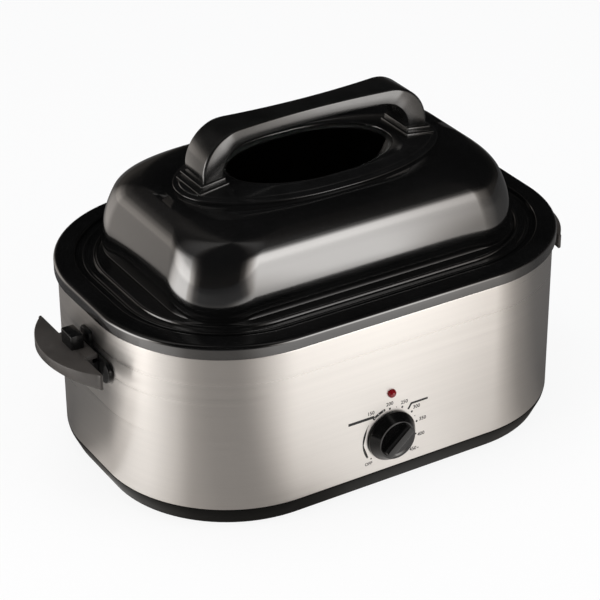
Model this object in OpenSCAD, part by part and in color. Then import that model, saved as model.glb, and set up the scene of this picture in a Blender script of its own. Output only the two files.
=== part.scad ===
// Electric roaster oven: a wrapped steel housing on a moulded base, a lift-out
// enamelled pan with its wire rack, and a high domed lid with an oval window.
// Millimetres, +Z up, front towards -Y. The origin is on the floor, under the
// middle of everything that stands out of the body.

/* [Body] */
// Length of the steel housing, end to end
body_l = 530; // [440:1:640]
// Depth of the steel housing, front to back
body_w = 359.4; // [300:1:440]
// Corner radius of the steel housing
corner_r = 145; // [120:1:149]
// Height of the steel wall
wall_h = 180.4; // [150:0.1:220]
// Thickness of the steel sheet
steel_t = 0.7; // [0.6:0.1:1.2]

/* [Base tray] */
// Height of the tray's visible skirt
skirt_h = 20.6; // [16:0.1:26]
// How far the skirt draws in at the bottom
skirt_inset = 8.4; // [6:0.1:14]
// Thickness of the tray's floor and walls
tray_t = 3; // [2.5:0.1:4]
// Height of a foot below the tray
foot_h = 4; // [3:0.5:8]
// Radius of a foot
foot_r = 12; // [9:0.5:15]

/* [Heating well] */
// Thickness of the well's sheet
well_t = 0.8; // [0.8:0.1:1.5]
// Gap between the well's wall and the pan's wall at the top
well_gap = 9; // [7:0.5:11]
// Height of the wound part of the heating band
band_h = 60; // [40:1:75]
// Thickness of the insulation blanket
blanket_t = 14; // [8:1:16]

/* [Roasting pan] */
// Height of the black rim, from the steel to the top of the pan
rim_h = 14.5; // [12:0.1:18]
// How far the rim stands out past the steel
rim_over = 2.5; // [1.5:0.1:4]
// Width of the rim's flat top
rim_flat = 18; // [12:0.5:24]
// Depth of the recess that the lid sits in
recess_h = 5; // [4:0.1:6]
// Width of the recess floor
recess_w = 21; // [18:0.5:24]
// Depth of the pan below its rim
pan_depth = 170; // [120:1:175]
// Thickness of the enamelled sheet
pan_t = 1.2; // [0.9:0.1:1.6]
// Draw of the pan's wall from top to bottom
pan_draft = 10; // [5:0.5:15]

/* [Rack] */
// Wire radius of the rack's frame and handles
frame_wire_r = 2.2; // [1.8:0.1:3]
// Wire radius of the rack's bars
bar_wire_r = 1.6; // [1.2:0.1:2]
// Number of bars across the rack
rack_bars = 13; // [9:2:17]
// Height of the rack above the pan's floor
rack_h = 12; // [9:0.5:18]
// Height of the rack's lifting handles above its frame
rack_handle_h = 62; // [45:1:80]

/* [Lid] */
// Thickness of the lid's sheet
lid_t = 1; // [0.9:0.1:1.6]
// Height of the lid's wall, from its flange to the shoulder's edge
dome_h = 79.1; // [55:0.1:95]
// How far the wall leans in at each end
lean_end = 17.5; // [8:0.1:22]
// How far the wall leans in at the front and back
lean_side = 12.5; // [6:0.1:20]
// Outward bow of the wall between flange and shoulder
wall_bow = 1.5; // [0:0.1:4]
// Length of the shoulder's rounding, along the wall and the crown
shoulder_f = 14.5; // [8:0.5:18]
// Rise of the crown from the shoulder's edge to the oval ring
crown_h = 9.2; // [6:0.1:18]
// Width of the crown at the ends, from the shoulder's edge to the oval ring
crown_end = 31.4; // [28:0.1:40]
// Width of the crown at the front and back
crown_side = 35.6; // [28:0.1:42]
// Upward bulge of the crown between the shoulder's edge and the oval ring
crown_bulge = 4.5; // [0:0.5:6]

/* [Window] */
// Width of the window frame at its ends
frame_end = 58.6; // [54:0.1:66]
// Width of the window frame at the front and back
frame_side = 22.9; // [19:0.1:26]
// Thickness of the glass
glass_t = 3.6; // [3:0.1:4.5]
// Thickness of the gasket under the glass
gasket_t = 1.4; // [1:0.1:2]
// How far the frame laps over the glass
glass_lap = 4.5; // [3:0.1:6]

/* [Lid handle] */
// Height of the handle's top above the crown's ring
handle_rise = 65.4; // [55:0.1:80]
// Depth of the handle's bar, seen from the front
bar_h = 17.5; // [14:0.1:24]
// Width of the bar at its waist
waist_w = 28; // [22:0.5:36]
// Width of the legs at the feet
leg_w = 42; // [34:0.5:46]
// Thickness of a leg, along the lid
leg_t = 24.7; // [20:0.1:28]
// Outer radius of the handle's bends
bend_r = 45.4; // [36:0.1:48]
// Height of a foot collar
collar_h = 9.2; // [7:0.1:13]

/* [Side handles] */
// Gap between the steel and the straight edge of the grip
grip_gap = 19.5; // [18:0.1:26]
// Length of the straight edge of the grip
grip_l = 145; // [120:1:170]
// Depth of the half-moon grip
grip_d = 31.5; // [24:0.1:40]
// Thickness of the grip at the middle of its curve
grip_t = 11; // [9:0.1:14]
// How much deeper the grip's edge is at its two tips
tip_drop = 6.7; // [3:0.1:9]
// Height of the grip's top below the top of the steel
grip_drop = 35; // [26:0.1:50]
// Height of the lid rest above the grip
rest_h = 16; // [10:0.5:20]
// Width of the lid rest
rest_w = 24; // [18:0.5:40]

/* [Controls] */
// Sideways place of the knob and lamp, from the middle of the body
dial_x = -9; // [-60:0.5:60]
// Height of the knob's centre above the bottom of the steel
dial_h = 40.4; // [34:0.1:60]
// Height of the lamp above the knob's centre
lamp_up = 51; // [40:0.1:65]
// Radius of the knob's skirt
knob_r = 28.4; // [24:0.1:32]
// Depth of the knob's tapered body
knob_t = 13; // [10:0.1:16]
// Height of the knob's grip bar above its face
bar_up = 6.5; // [4:0.1:9]
// Radius of the thermostat's shaft
shaft_r = 3; // [2.5:0.1:3.2]
// Angle of the knob's pointer when off, from the right, turning left
off_angle = 221; // [200:1:235]

/* [Fits] */
// Gap round pieces that lift off
lift_gap = 0.3; // [0.2:0.05:0.5]
// Radial gap of the shaft in its bushing
shaft_gap = 0.05; // [0.02:0.01:0.09]
// Radial gap round screws and bolts
screw_gap = 0.2; // [0.1:0.05:0.4]
// Gap between pieces that are fixed together
seat_gap = 0.1; // [0.05:0.05:0.2]
// Gap between wires that are welded end on
weld_gap = 0.05; // [0.02:0.01:0.1]

/* [Hidden] */
$fn = 96;
eps = 0.01;

// Colours, as the object has them.
steel = [0.78, 0.76, 0.74];
bright = [0.8, 0.8, 0.78];
black = [0.06, 0.06, 0.06];
enamel = [0.04, 0.04, 0.045];
brown_black = [0.2, 0.18, 0.17];
rubber = [0.1, 0.1, 0.1];

// The body's outline is a core rectangle with a band of even width round it.
half_l = body_l / 2;
half_w = body_w / 2;
core_x = half_l - corner_r;
core_y = half_w - corner_r;

// Heights of the stack, from the floor up.
z_tray = foot_h;
z_steel = z_tray + skirt_h;
z_rim = z_steel + wall_h;
z_top = z_rim + rim_h;
z_recess = z_top - recess_h;
z_pan = z_top - pan_depth;
flange_t = 1.2;
z_flange = z_rim + flange_t;

// Radii about the core's corners, from the steel inwards.
lip_r = corner_r + rim_over;
flat_r = corner_r - rim_flat;
recess_r = flat_r - recess_w;
pan_r = recess_r - 6;
pan_fillet = 20;
well_r = pan_r + pan_t + well_gap;
z_well = z_pan - pan_t - 8.3;
well_fillet = 12;
shield_drop = 9;
z_shield = z_well - well_t - shield_drop;
shield_t = 1;

// Controls, in a frame whose +Z comes out of the front panel.
dial_z = z_steel + dial_h;
shaft_in = 15;
bushing_r = 5;
bushing_out = 4.6;
lamp_r = 4.2;

// Mounting of the side handles.
grip_z = z_rim - grip_drop;
grip_x = half_l + grip_gap;
plate_t = 4;
plate_h = 27;
plate_w = 104;
arm_w = 60;
bolt_y = 21;
bolt_r = 2.4;
bolt_z = grip_z - grip_t - 9.8;

// Key sections of the lid: [core x, core y, corner radius in x, in y, height].
lid_r = flat_r - 8.5;
bead_r = recess_r - 1;
skirt_r = pan_r - 2;
skirt_drop = 7;
z_lid = z_recess + lift_gap;
base_in_l = 59.5;
base_in_w = 51.2;
base_r = 64;
edge_r = 66;
z_base = z_lid + 4.7;
edge_a = half_l - base_in_l - lean_end;
edge_b = half_w - base_in_w - lean_side;
z_edge = z_base + dome_h;
ring_a = edge_a - crown_end;
ring_b = edge_b - crown_side;
z_ring = z_edge + crown_h;
glass_a = ring_a - frame_end + glass_lap;
glass_b = ring_b - frame_side + glass_lap;
hole_a = glass_a - 10;
hole_b = glass_b - 10;
z_hole = z_ring + 1.4;
z_gasket = z_hole + seat_gap;
z_glass = z_gasket + gasket_t + seat_gap;
z_lap = z_glass + glass_t + seat_gap;
z_frame = z_lap + 1.9;

// Lid handle.
foot_x = ring_a - 33;
foot_tilt = 8;
z_foot = z_frame - 1.9;
z_handle = z_ring + handle_rise;
leg_x = foot_x + leg_t / 2;
handle_screw_y = 11;
handle_screw_r = 2.4;

// The whole is moved so that its outermost points lie evenly about the origin.
knob_top = knob_t + bar_up;
gland_out = 6;
centre_y = (knob_top - gland_out) / 2;

// ---------- shared shapes ----------

module centred() translate([0, centre_y, 0]) children();

// A profile in (distance from the core, height), carried round the body.
module swept() {
    for (sx = [0, 1], sy = [0, 1])
        mirror([sx, 0, 0]) mirror([0, sy, 0])
            translate([core_x, core_y, 0]) rotate_extrude(angle = 90) children();
    for (sy = [0, 1])
        mirror([0, sy, 0])
            translate([-core_x, core_y, 0]) rotate([90, 0, 90]) linear_extrude(2 * core_x) children();
    for (sx = [0, 1])
        mirror([sx, 0, 0])
            translate([core_x, core_y, 0]) rotate([90, 0, 0]) linear_extrude(2 * core_y) children();
}

// A flat plate with the body's outline, r out from the core.
module slab(r, z, h) {
    swept() translate([0, z]) square([r, h]);
    translate([-core_x, -core_y, z]) cube([2 * core_x, 2 * core_y, h]);
}

function unit(v) = v / norm(v);
function left_of(v) = [-v[1], v[0]];
// Points along an arc about c.
function arc(c, r, a0, a1, n = 5) =
    [for (i = [0:n]) let(a = a0 + (a1 - a0) * i / n) c + r * [cos(a), sin(a)]];

// The point t to the left of a path at its i-th point, mitred.
function beside(p, t, i) =
    let(before = i > 0 ? left_of(unit(p[i] - p[i - 1])) : left_of(unit(p[1] - p[0])),
        after = i < len(p) - 1 ? left_of(unit(p[i + 1] - p[i])) : before,
        m = unit(before + after))
    p[i] + m * t / (m * before);

// Sheet metal: the path is its upper face, and the thickness lies to the left.
module sheet(p, t) polygon(concat(p, [for (i = [len(p) - 1:-1:0]) beside(p, t, i)]));

// A drawn vessel: the path ends at the core, and the middle of its floor is filled.
module vessel(p, t) {
    swept() sheet(p, t);
    translate([-core_x, -core_y, p[len(p) - 1][1] - t]) cube([2 * core_x, 2 * core_y, t]);
}

// Copies at the four combinations of +x, -x and +y, -y.
module four(x, y) for (sx = [-1, 1], sy = [-1, 1]) translate([sx * x, sy * y, 0]) children();

// The frame of the front panel: x to the right, y up, z out of the panel.
module on_panel(x, z) translate([x, -half_w, z]) rotate([90, 0, 0]) children();

module hex(across, h) cylinder(d = across / cos(30), h = h, $fn = 6);

// A closed ring of corner-rounded outlines: each section is lofted to the next,
// and the last to the first.
loft_m = 12;
loft_n = 4 * (loft_m + 1);
function outline(s) = [
    for (q = [0:3], i = [0:loft_m])
        let(t = (q + i / loft_m) * 90, sx = q == 0 || q == 3 ? 1 : -1, sy = q < 2 ? 1 : -1)
        [sx * s[0] + s[2] * cos(t), sy * s[1] + s[3] * sin(t), s[4]]];
module loft(sections) {
    count = len(sections);
    polyhedron(
        [for (s = sections) each outline(s)],
        [for (a = [0:count - 1], i = [0:loft_n - 1])
            let(b = (a + 1) % count, j = (i + 1) % loft_n)
            each [[a * loft_n + i, a * loft_n + j, b * loft_n + j],
                  [a * loft_n + i, b * loft_n + j, b * loft_n + i]]]);
}

// A section from its half length, half width, corner radius and height.
function section(a, b, r, z) = [a - r, b - r, r, r, z];
// An oval section: nearly an ellipse, with short straights.
oval_x = 10;
oval_y = 1.5;
function oval(a, b, z) = [oval_x, oval_y, a - oval_x, b - oval_y, z];
module oval_plate(a, b, z, h)
    translate([0, 0, z]) linear_extrude(h)
        polygon([for (p = outline(oval(a, b, 0))) [p[0], p[1]]]);
function mix(a, b, u) = a + (b - a) * u;
// A section drawn in by t at the same height.
function drawn_in(s, t) = [s[0], s[1], s[2] - t, s[3] - t, s[4]];

// ---------- housing ----------

module tray_profile() {
    out = corner_r;
    bottom = corner_r - skirt_inset;
    inner = corner_r - steel_t - 1.2;
    polygon([
        [bottom - 4, z_tray], [bottom, z_tray], [out - 0.8, z_steel - 4.5], [out, z_steel - 0.6],
        [out - 0.3, z_steel - seat_gap], [inner, z_steel - seat_gap], [inner, z_steel + 8],
        [inner - 2.2, z_steel + 8], [inner - 2.2, z_steel - 3],
        [bottom - 2, z_tray + tray_t], [bottom - 4, z_tray + tray_t]
    ]);
}

foot_px = core_x + 55;
foot_py = core_y + 58;
post_x = core_x - 10;
post_y = core_y - 10 > 8 ? core_y - 10 : 8;
post_r = 5;
screw_r = 2;
foot_screw_r = 1.75;

module base_tray() {
    vent_w = 4;
    vents = 9;
    boss_h = 11;
    color(black) centred() difference() {
        union() {
            swept() tray_profile();
            slab(corner_r - skirt_inset - 3, z_tray, tray_t);
            four(foot_px, foot_py) translate([0, 0, z_tray]) cylinder(r = 6, h = tray_t + boss_h);
        }
        for (side = [-1, 1], i = [-(vents - 1) / 2:(vents - 1) / 2])
            translate([side * core_x * 0.4 + i * 3 * vent_w, -30, z_tray - 1])
                cube([vent_w, 60, tray_t + 2]);
        four(foot_px, foot_py) translate([0, 0, z_tray - 1])
            cylinder(r = foot_screw_r + screw_gap, h = tray_t + boss_h - 1);
        four(post_x, post_y) translate([0, 0, z_tray - 1])
            cylinder(r = screw_r + screw_gap, h = tray_t + 2);
    }
}

module outer_shell() {
    bead = 1.3;
    color(steel) centred() difference() {
        swept() {
            translate([corner_r - steel_t, z_steel]) square([steel_t, wall_h - 1.5]);
            translate([corner_r - 0.7, z_rim - bead]) circle(bead);
            translate([corner_r - 8, z_rim - steel_t]) square([7.3, steel_t]);
        }
        on_panel(dial_x, dial_z) translate([0, 0, -5]) cylinder(r = bushing_r + 0.3, h = 10);
        on_panel(dial_x, dial_z + lamp_up) translate([0, 0, -5]) cylinder(r = lamp_r + screw_gap, h = 10);
        bolt_holes();
        gland_place() translate([0, 0, -8]) cylinder(r = gland_r + screw_gap, h = 16);
    }
}

module bolt_holes()
    for (sx = [-1, 1], y = [-bolt_y, bolt_y])
        translate([sx * half_l, y, bolt_z]) rotate([0, sx * 90, 0])
            translate([0, 0, -6]) cylinder(r = bolt_r + screw_gap, h = 12);

module heating_well() {
    top = [[corner_r + 0.9, z_flange]];
    bend = arc([well_r + 4, z_flange - 4], 4, 90, 180);
    corner = arc([well_r - 1 - well_fillet, z_well + well_fillet], well_fillet, 0, -90, 6);
    color(enamel) centred() vessel(concat(top, bend, corner, [[0, z_well]]), well_t);
}

band_r = well_r + well_t + 0.3;
band_z = z_well + well_fillet + 8;
module heating_band() {
    turns = 8;
    pitch = (band_h - 8) / (turns - 1);
    color([0.72, 0.66, 0.55]) centred() swept() {
        translate([band_r, band_z]) square([1.4, band_h]);
        for (i = [0:turns - 1]) translate([band_r + 1, band_z + 4 + i * pitch - 1]) square([1.2, 2]);
    }
}

blanket_r = band_r + 2.6;
module insulation_blanket() {
    z0 = z_well + 12;
    z1 = z_rim - 12;
    color([0.85, 0.83, 0.74]) centred() difference() {
        swept() translate([blanket_r, z0]) square([blanket_t, z1 - z0]);
        translate([dial_x - 36, -half_w, z0 - 1]) cube([72, corner_r, dial_h + lamp_up + 24]);
        translate([gland_x - 34, half_w - corner_r, z0 - 1]) cube([68, corner_r, 34]);
    }
}

module bottom_shield()
    color(bright) centred() difference() {
        slab(well_r - 16, z_shield - shield_t, shield_t);
        four(post_x, post_y) translate([0, 0, z_shield - 10])
            cylinder(r = post_r - 1.5 + screw_gap, h = 20);
    }

module well_posts() {
    foot = z_tray + tray_t;
    color(bright) centred() four(post_x, post_y) difference() {
        union() {
            translate([0, 0, foot]) cylinder(r = post_r, h = z_shield - shield_t - foot);
            translate([0, 0, foot]) cylinder(r = post_r - 1.5, h = z_well - well_t - foot);
        }
        translate([0, 0, z_tray]) cylinder(r = screw_r + screw_gap, h = 16);
    }
}

module base_screws()
    color(bright) centred() four(post_x, post_y) difference() {
        translate([0, 0, z_tray]) {
            translate([0, 0, -2.2]) cylinder(r1 = 3.4, r2 = 4, h = 2.2);
            cylinder(r = screw_r, h = 14);
        }
        translate([0, 0, z_tray - 2.3]) cross_slot(4, 1.1);
    }

module cross_slot(l, d) for (a = [0, 90]) rotate([0, 0, a]) translate([-l / 2, -0.5, -eps]) cube([l, 1, d]);

module rubber_feet()
    color(rubber) centred() four(foot_px, foot_py) difference() {
        cylinder(r1 = foot_r - 1.2, r2 = foot_r, h = foot_h);
        translate([0, 0, -1]) cylinder(r = 4.2, h = foot_h * 0.5 + 1);
        translate([0, 0, -1]) cylinder(r = foot_screw_r + screw_gap, h = foot_h + 2);
    }

module foot_screws()
    color(bright) centred() four(foot_px, foot_py) difference() {
        union() {
            translate([0, 0, foot_h * 0.5 - 1.5]) cylinder(r = 3.6, h = 1.5);
            translate([0, 0, foot_h * 0.5 - 0.5]) cylinder(r = foot_screw_r, h = 12);
        }
        translate([0, 0, foot_h * 0.5 - 1.6]) cross_slot(4, 0.9);
    }

// ---------- controls ----------

module thermostat()
    color([0.9, 0.88, 0.82]) centred() on_panel(dial_x, dial_z) difference() {
        union() {
            translate([-17, -14, -23]) cube([34, 28, 20.8]);
            translate([0, 0, -2.4]) cylinder(r = bushing_r, h = 2.4 + bushing_out);
            for (x = [-12, 4]) translate([x, 13, -20]) cube([8, 9, 1.2]);
        }
        translate([0, 0, -shaft_in - 1]) cylinder(r = shaft_r + shaft_gap, h = shaft_in + bushing_out + 2);
        for (y = [-7, 7]) translate([-18, y - 1, -16]) cube([36, 2, 9]);
    }

module thermostat_bracket()
    color(bright) centred() on_panel(dial_x, dial_z) difference() {
        translate([-24, -11, -steel_t - 1.3]) cube([48, 22, 1.2]);
        translate([0, 0, -5]) cylinder(r = bushing_r + seat_gap, h = 10);
    }

module thermostat_nut()
    color(bright) centred() on_panel(dial_x, dial_z) difference() {
        translate([0, 0, seat_gap]) hex(14, 2.8);
        translate([0, 0, -1]) cylinder(r = bushing_r + seat_gap, h = 6);
    }

module thermostat_shaft()
    color(bright) centred() on_panel(dial_x, dial_z) rotate([0, 0, off_angle]) difference() {
        translate([0, 0, -shaft_in]) cylinder(r = shaft_r, h = shaft_in + knob_t + 1.5);
        translate([-shaft_r, shaft_r * 0.5, bushing_out + 1]) cube([2 * shaft_r, shaft_r, 20]);
    }

// The knob: a hollow body that tapers to a shallow dished face, and a grip bar
// across the face that narrows towards its edge and ends in the pointer.
clip_t = 0.5;
clip_h = 5.9;
module control_knob() {
    face_r = knob_r - 7;
    shell = 2;
    dish = 1.5;
    bar_l = 2 * face_r - 5;
    bar_h1 = bar_up + dish + 1;
    boss_r = 6;
    color(black) centred() on_panel(dial_x, dial_z) rotate([0, 0, off_angle]) difference() {
        union() {
            rotate_extrude() polygon([
                [0, knob_t - shell - dish], [face_r - 4, knob_t - shell - dish], [knob_r - shell, 1],
                [knob_r, 1], [knob_r, 2.8], [face_r + 0.6, knob_t - 0.6], [face_r - 0.4, knob_t],
                [face_r - 1.4, knob_t - 0.2], [face_r - 4, knob_t - dish], [0, knob_t - dish]
            ]);
            cylinder(r = boss_r, h = knob_t - 1, $fn = 48);
            translate([-bar_l / 2, 0, knob_t - dish - 1]) rotate([90, 0, 90]) linear_extrude(bar_l)
                polygon([
                    [-6.6, 0], [6.6, 0], [6, bar_up * 0.6], [5, bar_h1 - 0.6], [4.4, bar_h1],
                    [-4.4, bar_h1], [-5, bar_h1 - 0.6], [-6, bar_up * 0.6]
                ]);
        }
        translate([0, 0, -1]) cylinder(r = bushing_r + 3.6, h = bushing_out + 1.6);
        difference() {
            cylinder(r = shaft_r + shaft_gap, h = knob_t + 2);
            translate([-shaft_r - 1, shaft_r * 0.5 + clip_t + 0.1, bushing_out + 1])
                cube([2 * shaft_r + 2, shaft_r, 20]);
        }
        translate([-3, shaft_r * 0.5 + 0.05, bushing_out + 1]) cube([6, clip_t + 0.1, clip_h + 0.3]);
    }
}

module knob_clip()
    color(bright) centred() on_panel(dial_x, dial_z) rotate([0, 0, off_angle])
        translate([-2.6, shaft_r * 0.5 + 0.07, bushing_out + 1.2]) cube([5.2, clip_t - 0.04, clip_h]);

tube_x = dial_x - 10;
tube_y = half_w - 16;
tube_r = 1;
elbow_r = 6;
bulb_z = z_well - well_t - 3.6;
bulb_r = 2.6;
bulb_y = core_y + 80;
module capillary_tube() {
    top_z = dial_z - 14;
    color([0.72, 0.45, 0.3]) centred() {
        translate([tube_x, -tube_y, bulb_z + elbow_r]) cylinder(r = tube_r, h = top_z - bulb_z - elbow_r);
        translate([tube_x, -tube_y + elbow_r, bulb_z + elbow_r]) rotate([90, 0, -90]) mirror([0, 1, 0])
            rotate_extrude(angle = 90) translate([elbow_r, 0]) circle(tube_r);
        translate([tube_x, -tube_y + elbow_r, bulb_z]) rotate([-90, 0, 0])
            cylinder(r = tube_r, h = tube_y - elbow_r - bulb_y);
    }
}

module sensor_bulb()
    color([0.72, 0.45, 0.3]) centred() translate([tube_x, -bulb_y, bulb_z]) rotate([-90, 0, 0])
        cylinder(r = bulb_r, h = 60);

module lamp_lens()
    color([0.55, 0.05, 0.06]) centred() on_panel(dial_x, dial_z + lamp_up) {
        translate([0, 0, -7]) cylinder(r = lamp_r, h = 7.5);
        rotate_extrude() polygon(concat([[0, seat_gap], [5, seat_gap]], arc([0, 0], 5, 20, 90, 6)));
    }

module lamp_holder()
    color([0.9, 0.9, 0.86]) centred() on_panel(dial_x, dial_z + lamp_up) difference() {
        translate([0, 0, -24]) cylinder(r = 6.6, h = 24 - steel_t - seat_gap);
        translate([0, 0, -8]) cylinder(r = lamp_r + seat_gap, h = 9);
    }

block_x = core_x - 34;
block_y = core_y + 50;
module terminal_block()
    color([0.88, 0.86, 0.8]) centred() translate([block_x, block_y, z_tray + tray_t]) difference() {
        translate([-21, -8, 0]) cube([42, 16, 13]);
        for (x = [-14, 0, 14]) translate([x, 0, 6]) cylinder(r = 3, h = 10);
        for (x = [-14, 0, 14]) translate([x, 0, 4.5]) rotate([90, 0, 0])
            cylinder(r = 1.8, h = 30, center = true);
    }

module thermal_cutoff()
    color([0.93, 0.93, 0.9]) centred()
        translate([core_x * 0.5, -12, z_well - well_t - 4]) rotate([0, 90, 0]) {
            cylinder(r = 2.8, h = 22, center = true);
            cylinder(r = 0.7, h = 44, center = true);
        }

gland_x = core_x - 30;
gland_z = z_steel + 20;
gland_r = 6.4;
module gland_place() translate([gland_x, half_w, gland_z]) rotate([-90, 0, 0]) children();
module cord_gland()
    color(rubber) centred() gland_place() difference() {
        union() {
            translate([0, 0, -9]) cylinder(r = gland_r, h = 9.2);
            translate([0, 0, seat_gap]) cylinder(r = 9.5, h = 2.6);
            translate([0, 0, 2]) cylinder(r1 = 7.5, r2 = 5.8, h = gland_out - 2);
            translate([0, 0, -9]) cylinder(r1 = gland_r, r2 = 8, h = 9 - steel_t - seat_gap);
        }
        translate([0, 0, -10]) cylinder(r = 3.6, h = 20);
    }

// ---------- side handles ----------

// The half-moon grip, its bracket and the lid rest, for the +X end.
module side_handle() {
    moon_r = (grip_l * grip_l / 4 + grip_d * grip_d) / (2 * grip_d);
    belly_r = (grip_l * grip_l / 4 + tip_drop * tip_drop) / (2 * tip_drop);
    tip_t = grip_t + tip_drop;
    rib_h = grip_z - bolt_z - 4;
    plate_x = half_l + seat_gap + plate_t + seat_gap;
    edge = 1.2;
    rest_x0 = half_l + 10.5;
    rest_x1 = grip_x + 5.5;
    color(brown_black) centred() difference() {
        union() {
            intersection() {
                translate([grip_x + grip_d - moon_r, 0, grip_z - tip_t - 1]) {
                    cylinder(r = moon_r, h = tip_t + 1 - edge);
                    translate([0, 0, tip_t + 1 - edge]) cylinder(r1 = moon_r, r2 = moon_r - edge, h = edge);
                }
                difference() {
                    translate([grip_x, -grip_l / 2 + 1.2, grip_z - tip_t - 2])
                        cube([grip_d + 1, grip_l - 2.4, tip_t + 4]);
                    translate([grip_x - 1, 0, grip_z - grip_t - belly_r]) rotate([0, 90, 0])
                        cylinder(r = belly_r, h = grip_d + 3, $fn = 240);
                }
            }
            translate([plate_x, -arm_w / 2, bolt_z - 7]) cube([8, arm_w, grip_z - bolt_z + 7]);
            translate([plate_x, -arm_w / 2, grip_z - grip_t]) cube([grip_x - plate_x + 4, arm_w, grip_t]);
            for (y = [-arm_w / 2, -2, arm_w / 2 - 4])
                translate([plate_x + 7, y + 4, bolt_z - 5]) rotate([90, 0, 0]) linear_extrude(4)
                    polygon([[0, 0], [0, rib_h], [grip_x - plate_x - 5, rib_h]]);
            translate([rest_x0, -rest_w / 2, grip_z - 1]) cube([rest_x1 - rest_x0, rest_w, rest_h + 1]);
        }
        for (y = [-bolt_y, bolt_y])
            translate([half_l - 2, y, bolt_z]) rotate([0, 90, 0])
                cylinder(r = bolt_r + screw_gap, h = plate_t + 9);
    }
}

// The backing plate of a side handle: wide and round-ended below, with a narrow
// tongue that stands up behind the lid rest.
module side_plate() {
    top = grip_z - 3.5;
    w = plate_w / 2;
    r = plate_h / 2;
    tongue_w = 20;
    tongue_h = 18;
    fillet = 5;
    color(black) centred() difference() {
        translate([half_l - 3, 0, 0]) rotate([90, 0, 90]) linear_extrude(3 + seat_gap + plate_t) {
            translate([r - w, top - plate_h]) square([plate_w - 2 * r, plate_h]);
            for (s = [-1, 1]) translate([s * (w - r), top - r]) circle(r);
            translate([-tongue_w / 2, top - 2]) square([tongue_w, tongue_h - 3]);
            translate([3 - tongue_w / 2, top - 2]) square([tongue_w - 6, tongue_h]);
            for (s = [-1, 1]) translate([s * (tongue_w / 2 - 3), top + tongue_h - 5]) circle(3);
            for (s = [-1, 1]) difference() {
                translate([s * (tongue_w / 2 + fillet / 2 - 0.5), top - 0.5 + fillet / 2])
                    square([fillet + 1, fillet + 1], center = true);
                translate([s * (tongue_w / 2 + fillet), top + fillet]) circle(fillet);
            }
        }
        slab(corner_r + seat_gap, z_steel, wall_h);
        for (y = [-bolt_y, bolt_y])
            translate([half_l - 6, y, bolt_z]) rotate([0, 90, 0]) cylinder(r = bolt_r + screw_gap, h = 20);
    }
}

module right_handle() side_handle();
module left_handle() mirror([1, 0, 0]) side_handle();
module right_handle_plate() side_plate();
module left_handle_plate() mirror([1, 0, 0]) side_plate();

module side_handle_bolts()
    color(bright) centred() for (s = [0, 1], y = [-bolt_y, bolt_y])
        mirror([s, 0, 0]) translate([half_l - steel_t - seat_gap, y, bolt_z]) rotate([0, 90, 0]) {
            translate([0, 0, -3.6]) hex(8, 3);
            translate([0, 0, -0.8]) cylinder(r = 5.5, h = 0.8);
            translate([0, 0, -1]) cylinder(r = bolt_r, h = plate_t + 7.5);
        }

// ---------- pan and rack ----------

module roasting_pan() {
    crown = arc([lip_r - 3.4, z_top - 3.4], 3.4, 0, 90);
    step = [[flat_r + 1, z_top], [flat_r, z_top - 1], [flat_r, z_recess + 0.8], [flat_r - 0.8, z_recess]];
    throat = arc([pan_r + 4, z_recess - 4], 4, 90, 176);
    wall_foot = arc([pan_r - pan_draft - pan_fillet, z_pan + pan_fillet], pan_fillet, -4, -90, 7);
    color(enamel) centred()
        vessel(concat([[lip_r, z_flange + lift_gap]], crown, step, throat, wall_foot, [[0, z_pan]]), pan_t);
}

rack_r = pan_r - pan_draft - pan_fillet + 8;
rack_z = z_pan + rack_h;
module roasting_rack() {
    span_x = core_x + rack_r;
    wire = frame_wire_r;
    leg = wire - 0.3;
    color(bright) centred() {
        swept() translate([rack_r, rack_z]) circle(wire);
        for (i = [0:rack_bars - 1])
            let(x = (i - (rack_bars - 1) / 2) * 2 * (core_x + 34) / (rack_bars - 1),
                past = max(0, abs(x) - core_x),
                y = core_y + sqrt(rack_r * rack_r - past * past))
            translate([x, y, rack_z + wire]) rotate([90, 0, 0]) cylinder(r = bar_wire_r, h = 2 * y);
        for (y = [-core_y * 0.7, core_y * 0.7])
            translate([-span_x, y, rack_z]) rotate([0, 90, 0]) cylinder(r = bar_wire_r, h = 2 * span_x);
        four(core_x * 0.8, core_y * 0.7)
            translate([0, 0, z_pan + lift_gap]) cylinder(r = leg, h = rack_z - z_pan - lift_gap);
    }
}

// Two upright loops of wire that stand on the ends of the rack's frame: each has
// two legs, two bends and a straight grip.
module rack_handles() {
    x = core_x + rack_r;
    half = core_y - 3;
    bend = 12;
    wire = frame_wire_r;
    foot = rack_z + frame_wire_r + weld_gap;
    top = rack_z + rack_handle_h;
    color(bright) centred() for (sx = [0, 1]) mirror([sx, 0, 0]) {
        for (sy = [0, 1]) mirror([0, sy, 0]) {
            translate([x, half, foot]) cylinder(r = wire, h = top - bend - foot);
            translate([x, half - bend, top - bend]) rotate([90, 0, 90]) rotate_extrude(angle = 90)
                translate([bend, 0]) circle(wire);
        }
        translate([x, -half + bend, top]) rotate([-90, 0, 0]) cylinder(r = wire, h = 2 * (half - bend));
    }
}

// ---------- lid ----------

key_base = section(half_l - base_in_l, half_w - base_in_w, base_r, z_base);
key_edge = section(edge_a, edge_b, edge_r, z_edge);
key_ring = oval(ring_a, ring_b, z_ring);
key_hole = oval(hole_a, hole_b, z_hole);

// A section of the wall at u from flange to shoulder edge: upright at the flange,
// leaning in more and more, and bowed out a little in the middle.
function wall_at(u, t) =
    let(s = drawn_in(mix(key_base, key_edge, u * u), t - wall_bow * 4 * u * (1 - u)))
    [s[0], s[1], s[2], s[3], mix(z_base, z_edge, u)];
// A section of the crown at u from shoulder edge to oval ring, bulging upwards.
function crown_at(u, t) = lowered(drawn_in(mix(key_edge, key_ring, u), t), -crown_bulge * 4 * u * (1 - u));
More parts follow.
